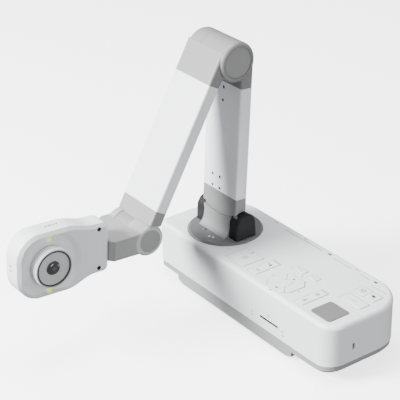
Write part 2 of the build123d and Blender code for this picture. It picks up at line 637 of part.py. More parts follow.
def build_upper_arm():
    mid = -ARM_OFFSET
    housing = arm_bar(-ELBOW_COLLAR, ELBOW_LIP, mid)
    housing = chamfer(housing.faces().sort_by(Axis.Z)[0].edges(), COLLAR_EDGE)
    housing -= axle(ELBOW_R + GAP, ELBOW_SPLIT, 60)
    barrel = axle(ELBOW_R, ELBOW_FAR, ELBOW_SPLIT - GAP)
    barrel = fillet(end_edges(barrel, ELBOW_R, ELBOW_FAR), ELBOW_FILLET)
    housing += barrel
    housing += spigot(-ELBOW_COLLAR - SPIGOT, -ELBOW_COLLAR, mid)
    housing -= axle(ELBOW_CAP_R + SEAT, ELBOW_FAR - 1, ELBOW_FAR + 3.2)
    housing -= axle(ELBOW_CAP_R - 4, ELBOW_FAR - 1, ELBOW_FAR + 7)
    housing -= axle(ELBOW_PIN_R + RUN, -60, 60)
    nodes["elbow_upper_housing"] = on_upper(housing)
    cap = axle(ELBOW_CAP_R, ELBOW_FAR + 0.6, ELBOW_FAR + 3.2)
    cap = fillet(end_edges(cap, ELBOW_CAP_R, ELBOW_FAR + 0.6), 0.5)
    nodes["elbow_far_cap"] = on_upper(cap)
    pocket = ELBOW_NEAR - 22
    pin = axle(ELBOW_PIN_R, ELBOW_FAR + 4, pocket + 11)
    pin += axle(ELBOW_PIN_R + 4, ELBOW_FAR + 4, ELBOW_FAR + 7)
    pin += axle(ELBOW_PIN_R + 4, pocket + 7.2, pocket + 11)
    nodes["elbow_pin"] = on_upper(pin)
    washers = []
    for n in range(3):
        start = pocket + GAP + 2.2 * n
        washers.append(axle(11.0, start, start + 1.9) - axle(ELBOW_PIN_R + RUN, start - 1, start + 3))
    nodes["elbow_friction_washers"] = on_upper(group(washers))

    tube_end = -UPPER_LENGTH + WRIST_COLLAR
    tube = arm_bar(tube_end, -ELBOW_COLLAR, mid)
    tube -= arm_bar(tube_end, -ELBOW_COLLAR, mid, ARM_WALL)
    nodes["upper_arm_tube"] = on_upper(tube)

    wrist = Pos(0, -WRIST_OFFSET, -UPPER_LENGTH)
    collar = arm_bar(-UPPER_LENGTH, tube_end, mid)
    collar = chamfer(collar.faces().sort_by(Axis.Z)[-1].edges(), COLLAR_EDGE)
    collar -= wrist * axle(WRIST_R + SWEEP, -60, TONGUE[0])
    collar -= wrist * axle(WRIST_R + SWEEP, TONGUE[1], 60)
    collar += wrist * axle(WRIST_R - 1.0, *TONGUE)
    collar += spigot(tube_end, tube_end + SPIGOT, mid)
    collar -= wrist * axle(WRIST_PIN_R + RUN, -60, 60)
    nodes["wrist_collar"] = on_upper(collar)


# ---------------------------------------------------------------- wrist block
def on_wrist(shape):
    """Local frame: origin on the wrist axis, -Y towards the camera head."""
    y, z = wrist_place()
    return Pos(PAN_X, y, z) * Rot(WRIST_TILT, 0, 0) * shape


def build_wrist():
    bar = box(WRIST_FAR, WRIST_NEAR, -BLOCK_END, 0, -BLOCK_BOTTOM, BLOCK_TOP)
    taper = Polyline((WRIST_FAR, -BLOCK_END + 27, 0), (WRIST_FAR + BLOCK_TAPER, -BLOCK_END, 0),
                     (WRIST_FAR - 5, -BLOCK_END - 5, 0), (WRIST_FAR - 5, -BLOCK_END + 27, 0), close=True)
    bar -= Pos(0, 0, -30) * extrude(make_face(taper), 60)
    near_end = [e for e in bar.edges().filter_by(Axis.Z)
                if abs(e.center().X - WRIST_NEAR) < 0.01 and e.center().Y < -BLOCK_END + 1]
    bar = chamfer(near_end, 5.0)
    low = [e for e in bar.edges() if e.center().Z < -BLOCK_BOTTOM + 0.01 and e.center().Y > -BLOCK_END + 1
           and e.center().Y < -1 and e.center().X > 10]
    bar = chamfer(low, BLOCK_LOW_EDGE)
    top = [e for e in bar.edges() if e.center().Z > BLOCK_TOP - 0.01 and e.center().Y < -1]
    bar = fillet(top, 1.4)
    cheeks = None
    for x0, x1 in ((WRIST_FAR, TONGUE[0] - GAP), (TONGUE[1] + GAP, WRIST_NEAR)):
        cheek = axle(WRIST_R, x0, x1)
        outer = x0 if x0 < TONGUE[0] - 1 else x1
        cheek = fillet(end_edges(cheek, WRIST_R, outer), 4.0)
        inset = 1.6
        web_x = (x0 + inset, x1) if outer == x0 else (x0, x1 - inset)
        cheek += side_profile([(0, 0), (0, WRIST_R - 0.3), (-17.0, BLOCK_TOP - 0.6), (-17.0, 0)], *web_x)
        cheeks = cheek if cheeks is None else cheeks + cheek
    block = bar - axle(WRIST_R - 1.0 + SWEEP, TONGUE[0] - GAP, TONGUE[1] + GAP)
    keep = box(WRIST_FAR - 1, WRIST_NEAR + 1, -BLOCK_END - 1, -6.0, -30, 30)
    block = common(block, keep) + cheeks
    block -= axle(WRIST_R - 1.0 + SWEEP, TONGUE[0] - GAP, TONGUE[1] + GAP)
    block -= axle(WRIST_CAP_R + SEAT, WRIST_NEAR - 2.6, WRIST_NEAR + 1)
    block -= axle(WRIST_CAP_R + SEAT, WRIST_FAR - 1, WRIST_FAR + 2.6)
    block -= axle(WRIST_PIN_R + RUN, -60, 60)
    block -= spindle(ROLL_BUSH_R, -BLOCK_END - 1, -BLOCK_END + ROLL_DEPTH, ROLL_X)
    nodes["wrist_block"] = on_wrist(block)
    caps = [axle(WRIST_CAP_R, WRIST_NEAR - 2.6, WRIST_NEAR - 0.5)]
    caps.append(axle(WRIST_CAP_R, WRIST_FAR + 0.5, WRIST_FAR + 2.6))
    nodes["wrist_caps"] = on_wrist(group(caps))
    nodes["wrist_pin"] = on_wrist(axle(WRIST_PIN_R, WRIST_FAR + 3, WRIST_NEAR - 3))
    bush = spindle(ROLL_BUSH_R - 0.02, -BLOCK_END + 0.4, -BLOCK_END + ROLL_DEPTH, ROLL_X)
    bush -= spindle(ROLL_SHAFT_R + RUN, -BLOCK_END - 1, -BLOCK_END + ROLL_DEPTH + 1, ROLL_X)
    nodes["roll_bush"] = on_wrist(bush)


# ---------------------------------------------------------------- camera head
def head_outline(inset):
    """The head's flat outline as a face in the YZ plane, tip towards -Y."""
    half = HEAD_HALF - inset
    start = -HEAD_START - inset
    tip = -HEAD_TIP + inset
    radius = HEAD_CORNER_R - inset
    end_r = HEAD_END_R - inset
    neck = -HEAD_NECK
    shoulder = -HEAD_SHOULDER
    corner_y = tip + radius
    corner_z = half - radius
    diagonal = 1 - sin(radians(45))
    edges = []
    end_points = []
    for s, end_half in ((1, HEAD_END_HIGH - inset), (-1, HEAD_END_LOW - inset)):
        end_points.append((0, start, s * (end_half - end_r)))
        turn = (0, start - end_r * diagonal, s * (end_half - end_r * diagonal))
        edges.append(ThreePointArc(end_points[-1], turn, (0, start - end_r, s * end_half)))
        edges.append(Line((0, start - end_r, s * end_half), (0, neck, s * end_half)))
        along = (0, -1, 0)
        edges.append(Spline((0, neck, s * end_half), (0, shoulder, s * half), tangents=(along, along)))
        edges.append(Line((0, shoulder, s * half), (0, corner_y, s * half)))
        middle = (0, corner_y - radius * sin(radians(45)), s * (corner_z + radius * sin(radians(45))))
        edges.append(ThreePointArc((0, corner_y, s * half), middle, (0, tip, s * corner_z)))
    edges.append(Line((0, tip, corner_z), (0, tip, -corner_z)))
    edges.append(Line(*end_points))
    outline = edges[0]
    for edge in edges[1:]:
        outline = outline + edge
    return make_face(outline)


def head_slab(inset, x0, x1):
    return Pos(x0, 0, 0) * extrude(head_outline(inset), x1 - x0, dir=(1, 0, 0))


def on_head(shape):
    """Same frame as the wrist, with the head's middle line HEAD_RISE above the roll axis."""
    return on_wrist(Pos(0, 0, HEAD_RISE) * shape)


def face_edges(shape, x):
    return [e for e in shape.edges() if abs(e.center().X - x) < 0.01]


def build_head():
    back = head_slab(0, HEAD_BACK, HEAD_SEAM)
    back = fillet(face_edges(back, HEAD_BACK), 7.0)
    back -= head_slab(HEAD_WALL, HEAD_BACK + HEAD_WALL, HEAD_SEAM + 1)
    shaft_hole = spindle(ROLL_SHAFT_R + SEAT, -HEAD_START - 8, -HEAD_START + 8, ROLL_X, -HEAD_RISE)
    back -= shaft_hole
    screw_places = [HEAD_SCREW_RISE + s * HEAD_SCREW_Z for s in (-1, 1)]
    bosses = [axle(4.2, HEAD_BACK + 8, HEAD_SEAM - 2.3 - SEAT, -HEAD_SCREW_Y, z) for z in screw_places]
    for boss in bosses:
        back += boss
    for z in screw_places:
        back -= axle(1.3, HEAD_SEAM - 14, HEAD_SEAM + 1, -HEAD_SCREW_Y, z)
    nodes["head_back_cover"] = on_head(back)

    front = head_slab(0, HEAD_SEAM, HEAD_FACE)
    front = chamfer(face_edges(front, HEAD_FACE), 2.2, 3.4)
    front += head_slab(HEAD_WALL + SEAT, HEAD_SEAM - 2.3, HEAD_SEAM + 0.2)
    dish = Pos(HEAD_FACE - DISH_DEPTH / 2 + 0.01, -LENS_Y, LENS_Z) * Rot(0, 90, 0)
    dish = dish * Cone(DISH_R - DISH_SLOPE, DISH_R, DISH_DEPTH + 0.02)
    front -= common(dish, head_slab(DISH_RIM, HEAD_SEAM - 1, HEAD_FACE + 1))
    front -= axle(BARREL_R, 0, 60, -LENS_Y, LENS_Z)
    screws = []
    for z in screw_places:
        front -= axle(2.6, HEAD_FACE - 1.4, HEAD_FACE + 1, -HEAD_SCREW_Y, z)
        front -= axle(1.5, HEAD_SEAM - 4, HEAD_FACE, -HEAD_SCREW_Y, z)
        screw = axle(2.5, HEAD_FACE - 1.4, HEAD_FACE - 0.3, -HEAD_SCREW_Y, z)
        screw -= axle(1.0, HEAD_FACE - 0.9, HEAD_FACE, -HEAD_SCREW_Y, z)
        screws.append(screw + axle(1.25, HEAD_SEAM - 10, HEAD_FACE - 1.4, -HEAD_SCREW_Y, z))
    for s in (-1, 1):
        front -= axle(LAMP_R + SEAT, HEAD_SEAM - 6, HEAD_FACE + 1, -LENS_Y, LENS_Z + s * LAMP_OFFSET)
    nodes["head_front_cover"] = on_head(front)
    nodes["head_screws"] = on_head(group(screws))

    lamps = []
    for s in (-1, 1):
        lamp_top = HEAD_FACE - DISH_DEPTH + 1.2
        lamp = axle(LAMP_R, HEAD_SEAM - 2, lamp_top, -LENS_Y, LENS_Z + s * LAMP_OFFSET)
        lamps.append(fillet(end_edges(lamp, LAMP_R, lamp_top), 1.0))
    nodes["led_lamps"] = on_head(group(lamps))

    shaft = spindle(ROLL_SHAFT_R, -HEAD_START - 3, -BLOCK_END + ROLL_DEPTH - 1, ROLL_X)
    shaft += spindle(ROLL_SHAFT_R + 3, -HEAD_START - 6, -HEAD_START - HEAD_WALL - SEAT, ROLL_X)
    shaft -= spindle(3.0, -HEAD_START - 7, -BLOCK_END + ROLL_DEPTH, ROLL_X)
    nodes["roll_shaft"] = on_wrist(shaft)

    # lens barrel with a stepped face, its dark trim ring, the ribbed focus ring and the front glass
    face = BARREL_FRONT - TRIM_DEPTH
    barrel = axle(BARREL_R - RUN, 6.0, face, -LENS_Y, LENS_Z)
    barrel -= axle(GLASS_R + SEAT, 7.5, BARREL_FRONT, -LENS_Y, LENS_Z)
    widest = BARREL_R - TRIM_WIDTH - 0.8
    for n in range(FUNNEL_STEPS):
        radius = GLASS_R + (widest - GLASS_R) * (n + 1) / FUNNEL_STEPS
        barrel -= axle(radius, face - FUNNEL_DROP * (FUNNEL_STEPS - n), BARREL_FRONT, -LENS_Y, LENS_Z)
    nodes["lens_barrel"] = on_head(barrel)
    trim = axle(BARREL_R - RUN, face, BARREL_FRONT, -LENS_Y, LENS_Z)
    trim -= axle(BARREL_R - TRIM_WIDTH, 0, 60, -LENS_Y, LENS_Z)
    nodes["lens_trim_ring"] = on_head(trim)
    ring_low = HEAD_FACE - DISH_DEPTH + GAP
    ring = Pos((ring_low + BARREL_FRONT) / 2, -LENS_Y, LENS_Z) * Rot(0, 90, 0)
    ring = ring * Cone(RING_BASE_R, RING_FRONT_R, BARREL_FRONT - ring_low)
    ring -= axle(BARREL_R + RUN, 0, 60, -LENS_Y, LENS_Z)
    nodes["focus_ring"] = on_head(ring)
    glass_front = BARREL_FRONT + 0.4
    glass = axle(GLASS_R, GLASS_BACK, glass_front, -LENS_Y, LENS_Z)
    nodes["lens_glass"] = on_head(fillet(end_edges(glass, GLASS_R, glass_front), GLASS_ROUND))
    board = box(2.6, 4.2, -LENS_Y - 24, -LENS_Y + 24, -24, 24)
    board += box(4.0, 5.8, -LENS_Y - 8, -LENS_Y + 8, -8, 8)
    nodes["sensor_board"] = on_head(board)


def main():
    build_base()
    build_ports()
    build_keys()
    build_turntable()
    build_lower_arm()
    build_upper_arm()
    build_wrist()
    build_head()
    os.makedirs("parts", exist_ok=True)
    for name, shape in nodes.items():
        export_step(as_one(shape), f"parts/{name}.step")
    print(len(nodes), "nodes")
    print("elbow", elbow_place(), "wrist", wrist_place())


main()
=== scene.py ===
"""Looks of a desktop document camera: finishes, printed marks, ribs and a plain studio."""
import math

import bmesh
import bpy
from mathutils import Matrix, Vector
from mathutils.bvhtree import BVHTree


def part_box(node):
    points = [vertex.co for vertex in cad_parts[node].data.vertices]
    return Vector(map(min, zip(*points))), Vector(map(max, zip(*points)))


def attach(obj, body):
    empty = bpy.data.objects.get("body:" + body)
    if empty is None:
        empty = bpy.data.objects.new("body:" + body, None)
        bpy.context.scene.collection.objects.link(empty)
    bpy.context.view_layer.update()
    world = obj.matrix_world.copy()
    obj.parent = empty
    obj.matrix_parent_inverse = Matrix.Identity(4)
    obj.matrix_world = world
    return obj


bl_info = {
    "name": "Document camera looks",
    "version": (1, 0, 0),
    "blender": (4, 5, 0),
    "location": "View3D > Sidebar > Document camera",
    "description": "Finishes, printed marks, ribs and studio for a desktop document camera",
    "category": "Object",
}

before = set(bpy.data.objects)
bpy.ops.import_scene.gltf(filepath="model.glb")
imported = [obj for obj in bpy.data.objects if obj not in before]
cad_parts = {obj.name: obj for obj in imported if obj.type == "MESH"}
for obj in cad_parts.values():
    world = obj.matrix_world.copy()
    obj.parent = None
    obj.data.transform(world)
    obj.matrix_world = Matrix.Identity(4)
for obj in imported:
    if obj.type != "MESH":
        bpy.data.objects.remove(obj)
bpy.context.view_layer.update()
MM = 0.001
COVER_RIM_R = 35.5      # the painted shade along the head seam is laid only outside this radius about the lens line, mm
GLASS_R = 8.2           # radius of the front lens element, mm
PAD_CUT = 8.3           # corner cut of the eight-sided rim round the direction keys, mm
RIM_CLEAR = 0.75        # printed rims stand this far outside their keys, mm
LINER_WALL = 0.22       # wall of the black liner laid in the card slot as painted shade, mm
READER_WALL = 2.02      # the card reader stands this far outside the slot, mm
GAP_SHADE_STEPS = 128        # sides of the dark ring laid in the gap round the turntable as painted shade
INK_SINK = 0.05         # printing starts this far below its surface, mm


# ---------------------------------------------------------------- node expressions
class Signal:
    """A node socket that can be used in sums: each operation adds its Math node."""

    def __init__(self, graph, socket):
        self.graph = graph
        self.socket = socket

    def _math(self, operation, first, second=None):
        sockets = {0: first} if second is None else {0: first, 1: second}
        return self.graph.node("ShaderNodeMath", {"operation": operation}, sockets).out(0)

    def __add__(self, other):
        return self._math("ADD", self, other)

    def __radd__(self, other):
        return self._math("ADD", other, self)

    def __sub__(self, other):
        return self._math("SUBTRACT", self, other)

    def __rsub__(self, other):
        return self._math("SUBTRACT", other, self)

    def __mul__(self, other):
        return self._math("MULTIPLY", self, other)

    def __rmul__(self, other):
        return self._math("MULTIPLY", other, self)

    def __truediv__(self, other):
        return self._math("DIVIDE", self, other)

    def __rtruediv__(self, other):
        return self._math("DIVIDE", other, self)

    def sine(self):
        return self._math("SINE", self)

    def within(self, low, high):
        """1 where the value lies between low and high, and 0 elsewhere."""
        return self._math("GREATER_THAN", self, low) * self._math("LESS_THAN", self, high)


class Placed:
    """A node that has been added; out() gives one of its outputs."""

    def __init__(self, graph, node):
        self.graph = graph
        self.raw = node

    def out(self, key=0):
        return Signal(self.graph, self.raw.outputs[key])


class Graph:
    """A node tree, with one way to add a node to it."""

    def __init__(self, tree):
        self.tree = tree

    def node(self, kind, settings=None, sockets=None):
        node = self.tree.nodes.new(kind)
        for name, value in (settings or {}).items():
            if name == "stops":
                for place, (position, colour) in enumerate(value):
                    stops = node.color_ramp.elements
                    stop = stops[place] if place < 2 else stops.new(position)
                    stop.position = position
                    stop.color = colour
            else:
                setattr(node, name, value)
        for key, value in (sockets or {}).items():
            self.feed(node.inputs[key], value)
        return Placed(self, node)

    def feed(self, socket, value):
        if isinstance(value, Signal):
            self.tree.links.new(value.socket, socket)
        else:
            socket.default_value = value

    def mix(self, share, low, high):
        """A colour between low and high."""
        sockets = {0: share, 6: low, 7: high}
        return self.node("ShaderNodeMix", {"data_type": "RGBA"}, sockets).out(2)

    def noise(self, place, scale, detail=2.0, rough=0.5):
        sockets = {"Vector": place, "Scale": scale, "Detail": detail, "Roughness": rough}
        return self.node("ShaderNodeTexNoise", {}, sockets).out("Fac")

    def bump(self, height, depth, strength=1.0, under=None):
        sockets = {"Height": height, "Distance": depth, "Strength": strength}
        if under is not None:
            sockets["Normal"] = under
        return self.node("ShaderNodeBump", {}, sockets).out(0)

    def distance_from_line(self, place, axis, centre):
        """Distance of a place from a line along one axis through centre, in metres."""
        keep = [0.0 if a == axis else 1.0 for a in "xyz"]
        moved = self.node("ShaderNodeVectorMath", {"operation": "SUBTRACT"}, {0: place, 1: centre}).out(0)
        flat = self.node("ShaderNodeVectorMath", {"operation": "MULTIPLY"}, {0: moved, 1: keep}).out(0)
        return self.node("ShaderNodeVectorMath", {"operation": "LENGTH"}, {0: flat}).out(1)


def shade(colour, by):
    return tuple(max(0.0, min(1.0, c * by)) for c in colour[:3]) + (1.0,)


def new_material(name):
    material = bpy.data.materials.new(name)
    material.use_nodes = True
    graph = Graph(material.node_tree)
    return material, graph, material.node_tree.nodes["Principled BSDF"]


# ---------------------------------------------------------------- finishes
def moulded(
    name, colour, rough, grain=0.5, depth=0.012, coat=0.0, cloud=0.03,
    rings=None, seam_shade=None, rim_highlight=None, gleam=0.5,
):
    """Moulded plastic: fine spark grain of `grain` mm and faint flow clouds.

    rings turns fine grooves about a line, the seam setting paints shade along a joint line across X,
    the rim setting paints a highlight on a round shoulder, and gleam sets how strongly the surface mirrors.
    """
    material, graph, shader = new_material(name)
    place = graph.node("ShaderNodeTexCoord").out("Object")
    flow = graph.noise(place, 14.0, 3.0)
    handled = graph.noise(place, 55.0, 4.0, 0.6)
    spark = graph.noise(place, 1000.0 / grain, 2.0, 0.7)
    tint = flow * 0.7 + handled * 0.3
    body = graph.mix(tint, shade(colour, 1 - cloud), shade(colour, 1 + cloud))
    if seam_shade is not None:
        # painted shade: a band across X about the joint line is darkened to 0.22 of the colour, only
        # outside COVER_RIM_R about the lens line
        across = graph.node("ShaderNodeSeparateXYZ", {}, {0: place}).out(0)
        line, half = seam_shade
        outside = graph.distance_from_line(place, "x", LENS_LINE).within(COVER_RIM_R * MM, 1.0)
        painted_seam_shade = across.within((line - half) * MM, (line + half) * MM) * outside * (0.75 + handled * 0.2)
        body = graph.mix(painted_seam_shade, body, shade(colour, 0.22))
    # painted highlight: an annulus about the centre line is lightened by lift, standing in for a lit round
    # shoulder
    if rim_highlight is not None:
        centre, inner, outer, lift = rim_highlight
        painted_shoulder_highlight = graph.distance_from_line(place, "x", centre).within(inner * MM, outer * MM)
        body = graph.mix(painted_shoulder_highlight, body, shade(colour, lift))
    graph.feed(shader.inputs["Base Color"], body)
    graph.feed(shader.inputs["Roughness"], rough + (handled - 0.5) * 0.16 + (spark - 0.5) * 0.06)
    normal = graph.bump(spark, depth * MM, 0.6)
    if rings is not None:
        axis, centre, pitch, cut = rings
        radius = graph.distance_from_line(place, axis, centre)
        wave = (radius * (2 * math.pi / (pitch * MM))).sine()
        normal = graph.bump(wave * 0.5 + 0.5, cut * MM, 1.0, under=normal)
    graph.feed(shader.inputs["Normal"], normal)
    shader.inputs["IOR"].default_value = 1.46
    shader.inputs["Specular IOR Level"].default_value = gleam
    if coat:
        shader.inputs["Coat Weight"].default_value = coat
        shader.inputs["Coat Roughness"].default_value = 0.12
    return material


def metal(name, colour, rough, brushed=0.4):
    """Plated or blackened metal with fine random brushing."""
    material, graph, shader = new_material(name)
    place = graph.node("ShaderNodeTexCoord").out("Object")
    stretched = graph.node("ShaderNodeMapping", {}, {"Vector": place, "Scale": (1.0, 1.0, 0.08)}).out(0)
    lines = graph.noise(stretched, 2600.0, 2.0)
    stain = graph.noise(place, 120.0, 3.0)
    graph.feed(shader.inputs["Base Color"], graph.mix(stain, shade(colour, 0.9), shade(colour, 1.08)))
    graph.feed(shader.inputs["Roughness"], rough + (lines - 0.5) * brushed * 0.3)
    graph.feed(shader.inputs["Normal"], graph.bump(lines, 0.006 * MM, 0.5))
    shader.inputs["Metallic"].default_value = 1.0
    return material


def circuit(name, colour):
    """Solder mask with fine copper lines showing through."""
    material, graph, shader = new_material(name)
    place = graph.node("ShaderNodeTexCoord").out("Object")
    cells = graph.node("ShaderNodeTexVoronoi", {"distance": "MANHATTAN"}, {"Vector": place, "Scale": 260.0})
    near = cells.out("Distance")
    ramp_stops = [(0.42, (0, 0, 0, 1)), (0.5, (1, 1, 1, 1))]
    tracks = graph.node("ShaderNodeValToRGB", {"stops": ramp_stops}, {0: near}).out(0)
    graph.feed(shader.inputs["Base Color"], graph.mix(tracks, shade(colour, 1.0), shade(colour, 2.0)))
    graph.feed(shader.inputs["Roughness"], 0.32 + near * 0.2)
    graph.feed(shader.inputs["Normal"], graph.bump(tracks, 0.03 * MM, 0.6))
    return material


def rubber(name, colour):
    material, graph, shader = new_material(name)
    place = graph.node("ShaderNodeTexCoord").out("Object")
    dust = graph.noise(place, 90.0, 4.0)
    pores = graph.noise(place, 1800.0, 2.0)
    graph.feed(shader.inputs["Base Color"], graph.mix(dust, shade(colour, 0.85), shade(colour, 1.6)))
    graph.feed(shader.inputs["Roughness"], 0.82 + (pores - 0.5) * 0.2)
    graph.feed(shader.inputs["Normal"], graph.bump(pores, 0.03 * MM, 0.7))
    return material


def lit_lens(name, colour, glow, power):
    """Tinted clear plastic over a small lamp: brighter in the middle of its prisms."""
    material, graph, shader = new_material(name)
    place = graph.node("ShaderNodeTexCoord").out("Object")
    prisms = graph.noise(place, 900.0, 1.0)
    body = graph.mix(prisms, shade(colour, 0.88), shade(colour, 1.06))
    graph.feed(shader.inputs["Base Color"], body)
    graph.feed(shader.inputs["Emission Color"], graph.mix(prisms, shade(glow, 0.8), shade(glow, 1.0)))
    shader.inputs["Emission Strength"].default_value = power
    graph.feed(shader.inputs["Roughness"], 0.2 + prisms * 0.12)
    graph.feed(shader.inputs["Normal"], graph.bump(prisms, 0.02 * MM, 0.5))
    shader.inputs["Coat Weight"].default_value = 0.5
    return material


def coated_glass(name, colour, line):
    """A deep lens element: near-black body, polished coat, and a radial tone painted in its colour: a pale
    highlight in the middle and a lighter edge.
    """
    material, graph, shader = new_material(name)
    place = graph.node("ShaderNodeTexCoord").out("Object")
    radius = graph.distance_from_line(place, "x", line)
    # painted highlight: the tone is pale in the middle, darkest at 0.72 of the radius and lighter again at
    # the edge
    stops = [
        (0.0, (0.11, 0.12, 0.13, 1)),
        (0.42, (0.03, 0.03, 0.035, 1)),
        (0.72, (0.016, 0.017, 0.02, 1)),
        (1.0, (0.06, 0.062, 0.068, 1)),
    ]
    painted_highlight_tone = graph.node("ShaderNodeValToRGB", {"stops": stops}, {0: radius / (GLASS_R * MM)}).out(0)
    wisps = graph.noise(place, 160.0, 2.0)
    graph.feed(shader.inputs["Base Color"], graph.mix(wisps * 0.25, painted_highlight_tone, shade(colour, 1.0)))
    graph.feed(shader.inputs["Roughness"], 0.14 + wisps * 0.1)
    shader.inputs["Coat Weight"].default_value = 1.0
    shader.inputs["Coat Roughness"].default_value = 0.03
    shader.inputs["IOR"].default_value = 1.6
    return material


def ink(name, colour, worn=0.15):
    """Pad-printed ink, a little broken where it is thin."""
    material, graph, shader = new_material(name)
    place = graph.node("ShaderNodeTexCoord").out("Object")
    thin = graph.noise(place, 1400.0, 3.0)
    printed = graph.mix(thin, shade(colour, 1 - worn), shade(colour, 1 + worn))
    graph.feed(shader.inputs["Base Color"], printed)
    graph.feed(shader.inputs["Roughness"], 0.5 + thin * 0.2)
    graph.feed(shader.inputs["Normal"], graph.bump(thin, 0.004 * MM, 0.5))
    return material


# ---------------------------------------------------------------- mesh helpers
def add_mesh(name, build, material, body):
    """A piece from a bmesh that build fills; it rides on a body and takes its finish from a slot."""
    mesh = bpy.data.meshes.new(name)
    work = bmesh.new()
    build(work)
    bmesh.ops.remove_doubles(work, verts=work.verts, dist=1e-7)
    bmesh.ops.recalc_face_normals(work, faces=work.faces)
    work.to_mesh(mesh)
    work.free()
    piece = bpy.data.objects.new(name, mesh)
    bpy.context.scene.collection.objects.link(piece)
    return finish_piece(piece, material, body)


def finish_piece(piece, material, body):
    piece.data.materials.clear()
    piece.data.materials.append(material)
    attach(piece, body)
    return piece


def plate(work, outline, low, high):
    """A thin closed plate standing on a flat outline of (x, y), in millimetres, between two heights."""
    bottom = [work.verts.new((x * MM, y * MM, low * MM)) for x, y in outline]
    top = [work.verts.new((x * MM, y * MM, high * MM)) for x, y in outline]
    work.faces.new(bottom[::-1])
    work.faces.new(top)
    for i in range(len(outline)):
        j = (i + 1) % len(outline)
        work.faces.new((bottom[i], bottom[j], top[j], top[i]))


def round_outline(x, y, radius, sides=20):
    steps = [2 * math.pi * i / sides for i in range(sides)]
    return [(x + radius * math.cos(a), y + radius * math.sin(a)) for a in steps]


def bar_outline(x0, y0, x1, y1, width):
    along = Vector((x1 - x0, y1 - y0)).normalized()
    side = Vector((-along.y, along.x)) * width / 2
    ends = ((x0, y0, 1), (x1, y1, 1), (x1, y1, -1), (x0, y0, -1))
    return [(x - s * side.x, y - s * side.y) for x, y, s in ends]


def plain_copy(source, name):
    """The evaluated shape of an object as a new plain mesh; the source is removed."""
    evaluated = source.evaluated_get(bpy.context.evaluated_depsgraph_get())
    mesh = bpy.data.meshes.new_from_object(evaluated)
    bpy.data.objects.remove(source)
    piece = bpy.data.objects.new(name, mesh)
    bpy.context.scene.collection.objects.link(piece)
    return piece


def grown(name, group, inputs, material, body, host=None):
    """Runs a Geometry Nodes group with its inputs and keeps the result as a plain piece."""
    if host is None:
        host = bpy.data.objects.new(name + "_host", bpy.data.meshes.new(name + "_host"))
        bpy.context.scene.collection.objects.link(host)
    modifier = host.modifiers.new("grow", "NODES")
    modifier.node_group = group
    by_name = {s.name: s.identifier for s in group.interface.items_tree if s.in_out == "INPUT"}
    for key, value in inputs.items():
        modifier[by_name[key]] = value
    piece = plain_copy(host, name)
    return finish_piece(piece, material, body)


def new_group(name, inputs):
    """An empty Geometry Nodes group with a geometry in and out and named inputs."""
    tree = bpy.data.node_groups.new(name, "GeometryNodeTree")
    tree.interface.new_socket("Geometry", in_out="INPUT", socket_type="NodeSocketGeometry")
    for label, kind, value in inputs:
        socket = tree.interface.new_socket(label, in_out="INPUT", socket_type=kind)
        if value is not None:
            socket.default_value = value
    tree.interface.new_socket("Geometry", in_out="OUTPUT", socket_type="NodeSocketGeometry")
    graph = Graph(tree)
    return tree, graph, graph.node("NodeGroupInput")


def close_group(graph, geometry, material):
    """Ends a tree in Realize Instances and Set Material."""
    real = graph.node("GeometryNodeRealizeInstances", {}, {0: geometry}).out(0)
    painted = graph.node("GeometryNodeSetMaterial", {}, {"Geometry": real, "Material": material}).out(0)
    graph.node("NodeGroupOutput", {}, {0: painted})


def rib_group():
    """Ribs standing round a cone whose axis is X."""
    wanted = [
        ("Count", "NodeSocketInt", 60),
        ("Radius", "NodeSocketFloat", 0.022),
        ("Length", "NodeSocketFloat", 0.009),
        ("Thickness", "NodeSocketFloat", 0.0004),
        ("Slope", "NodeSocketFloat", 0.1),
        ("Centre", "NodeSocketVector", None),
        ("Material", "NodeSocketMaterial", None),
    ]
    tree, graph, given = new_group("Ribs round a ring", wanted)
    circle = graph.node(
        "GeometryNodeMeshCircle", {"fill_type": "NONE"},
        {"Vertices": given.out("Count"), "Radius": given.out("Radius")},
    ).out(0)
    rib = graph.node(
        "GeometryNodeMeshCylinder", {"fill_type": "NGON"},
        {"Vertices": 8, "Radius": given.out("Thickness"), "Depth": given.out("Length")},
    ).out(0)
    lean = graph.node("ShaderNodeCombineXYZ", {}, {1: given.out("Slope")}).out(0)
    leaned = graph.node("GeometryNodeTransform", {}, {"Geometry": rib, "Rotation": lean}).out(0)
    outward = graph.node("GeometryNodeInputPosition").out(0)
    turn = graph.node(
        "FunctionNodeAlignRotationToVector", {"axis": "X", "pivot_axis": "Z"}, {"Vector": outward}
    ).out(0)
    ribs = graph.node(
        "GeometryNodeInstanceOnPoints", {}, {"Points": circle, "Instance": leaned, "Rotation": turn}
    ).out(0)
    placed = graph.node(
        "GeometryNodeTransform", {},
        {"Geometry": ribs, "Rotation": (0.0, math.pi / 2, 0.0), "Translation": given.out("Centre")},
    ).out(0)
    close_group(graph, placed, given.out("Material"))
    return tree


def stroke_group():
    """Printed strokes: a flat ribbon that follows each path of a curve object, lying level."""
    wanted = [
        ("Width", "NodeSocketFloat", 0.0005),
        ("Height", "NodeSocketFloat", 0.00006),
        ("Material", "NodeSocketMaterial", None),
    ]
    tree, graph, given = new_group("Printed strokes", wanted)
    level = graph.node(
        "GeometryNodeSetCurveNormal", {"mode": "Z_UP"}, {"Curve": given.out("Geometry")}
    ).out(0)
    nib = graph.node(
        "GeometryNodeCurvePrimitiveQuadrilateral", {"mode": "RECTANGLE"},
        {"Width": given.out("Width"), "Height": given.out("Height")},
    ).out(0)
    ribbon = graph.node(
        "GeometryNodeCurveToMesh", {}, {"Curve": level, "Profile Curve": nib, "Fill Caps": True}
    ).out(0)
    close_group(graph, ribbon, given.out("Material"))
    return tree


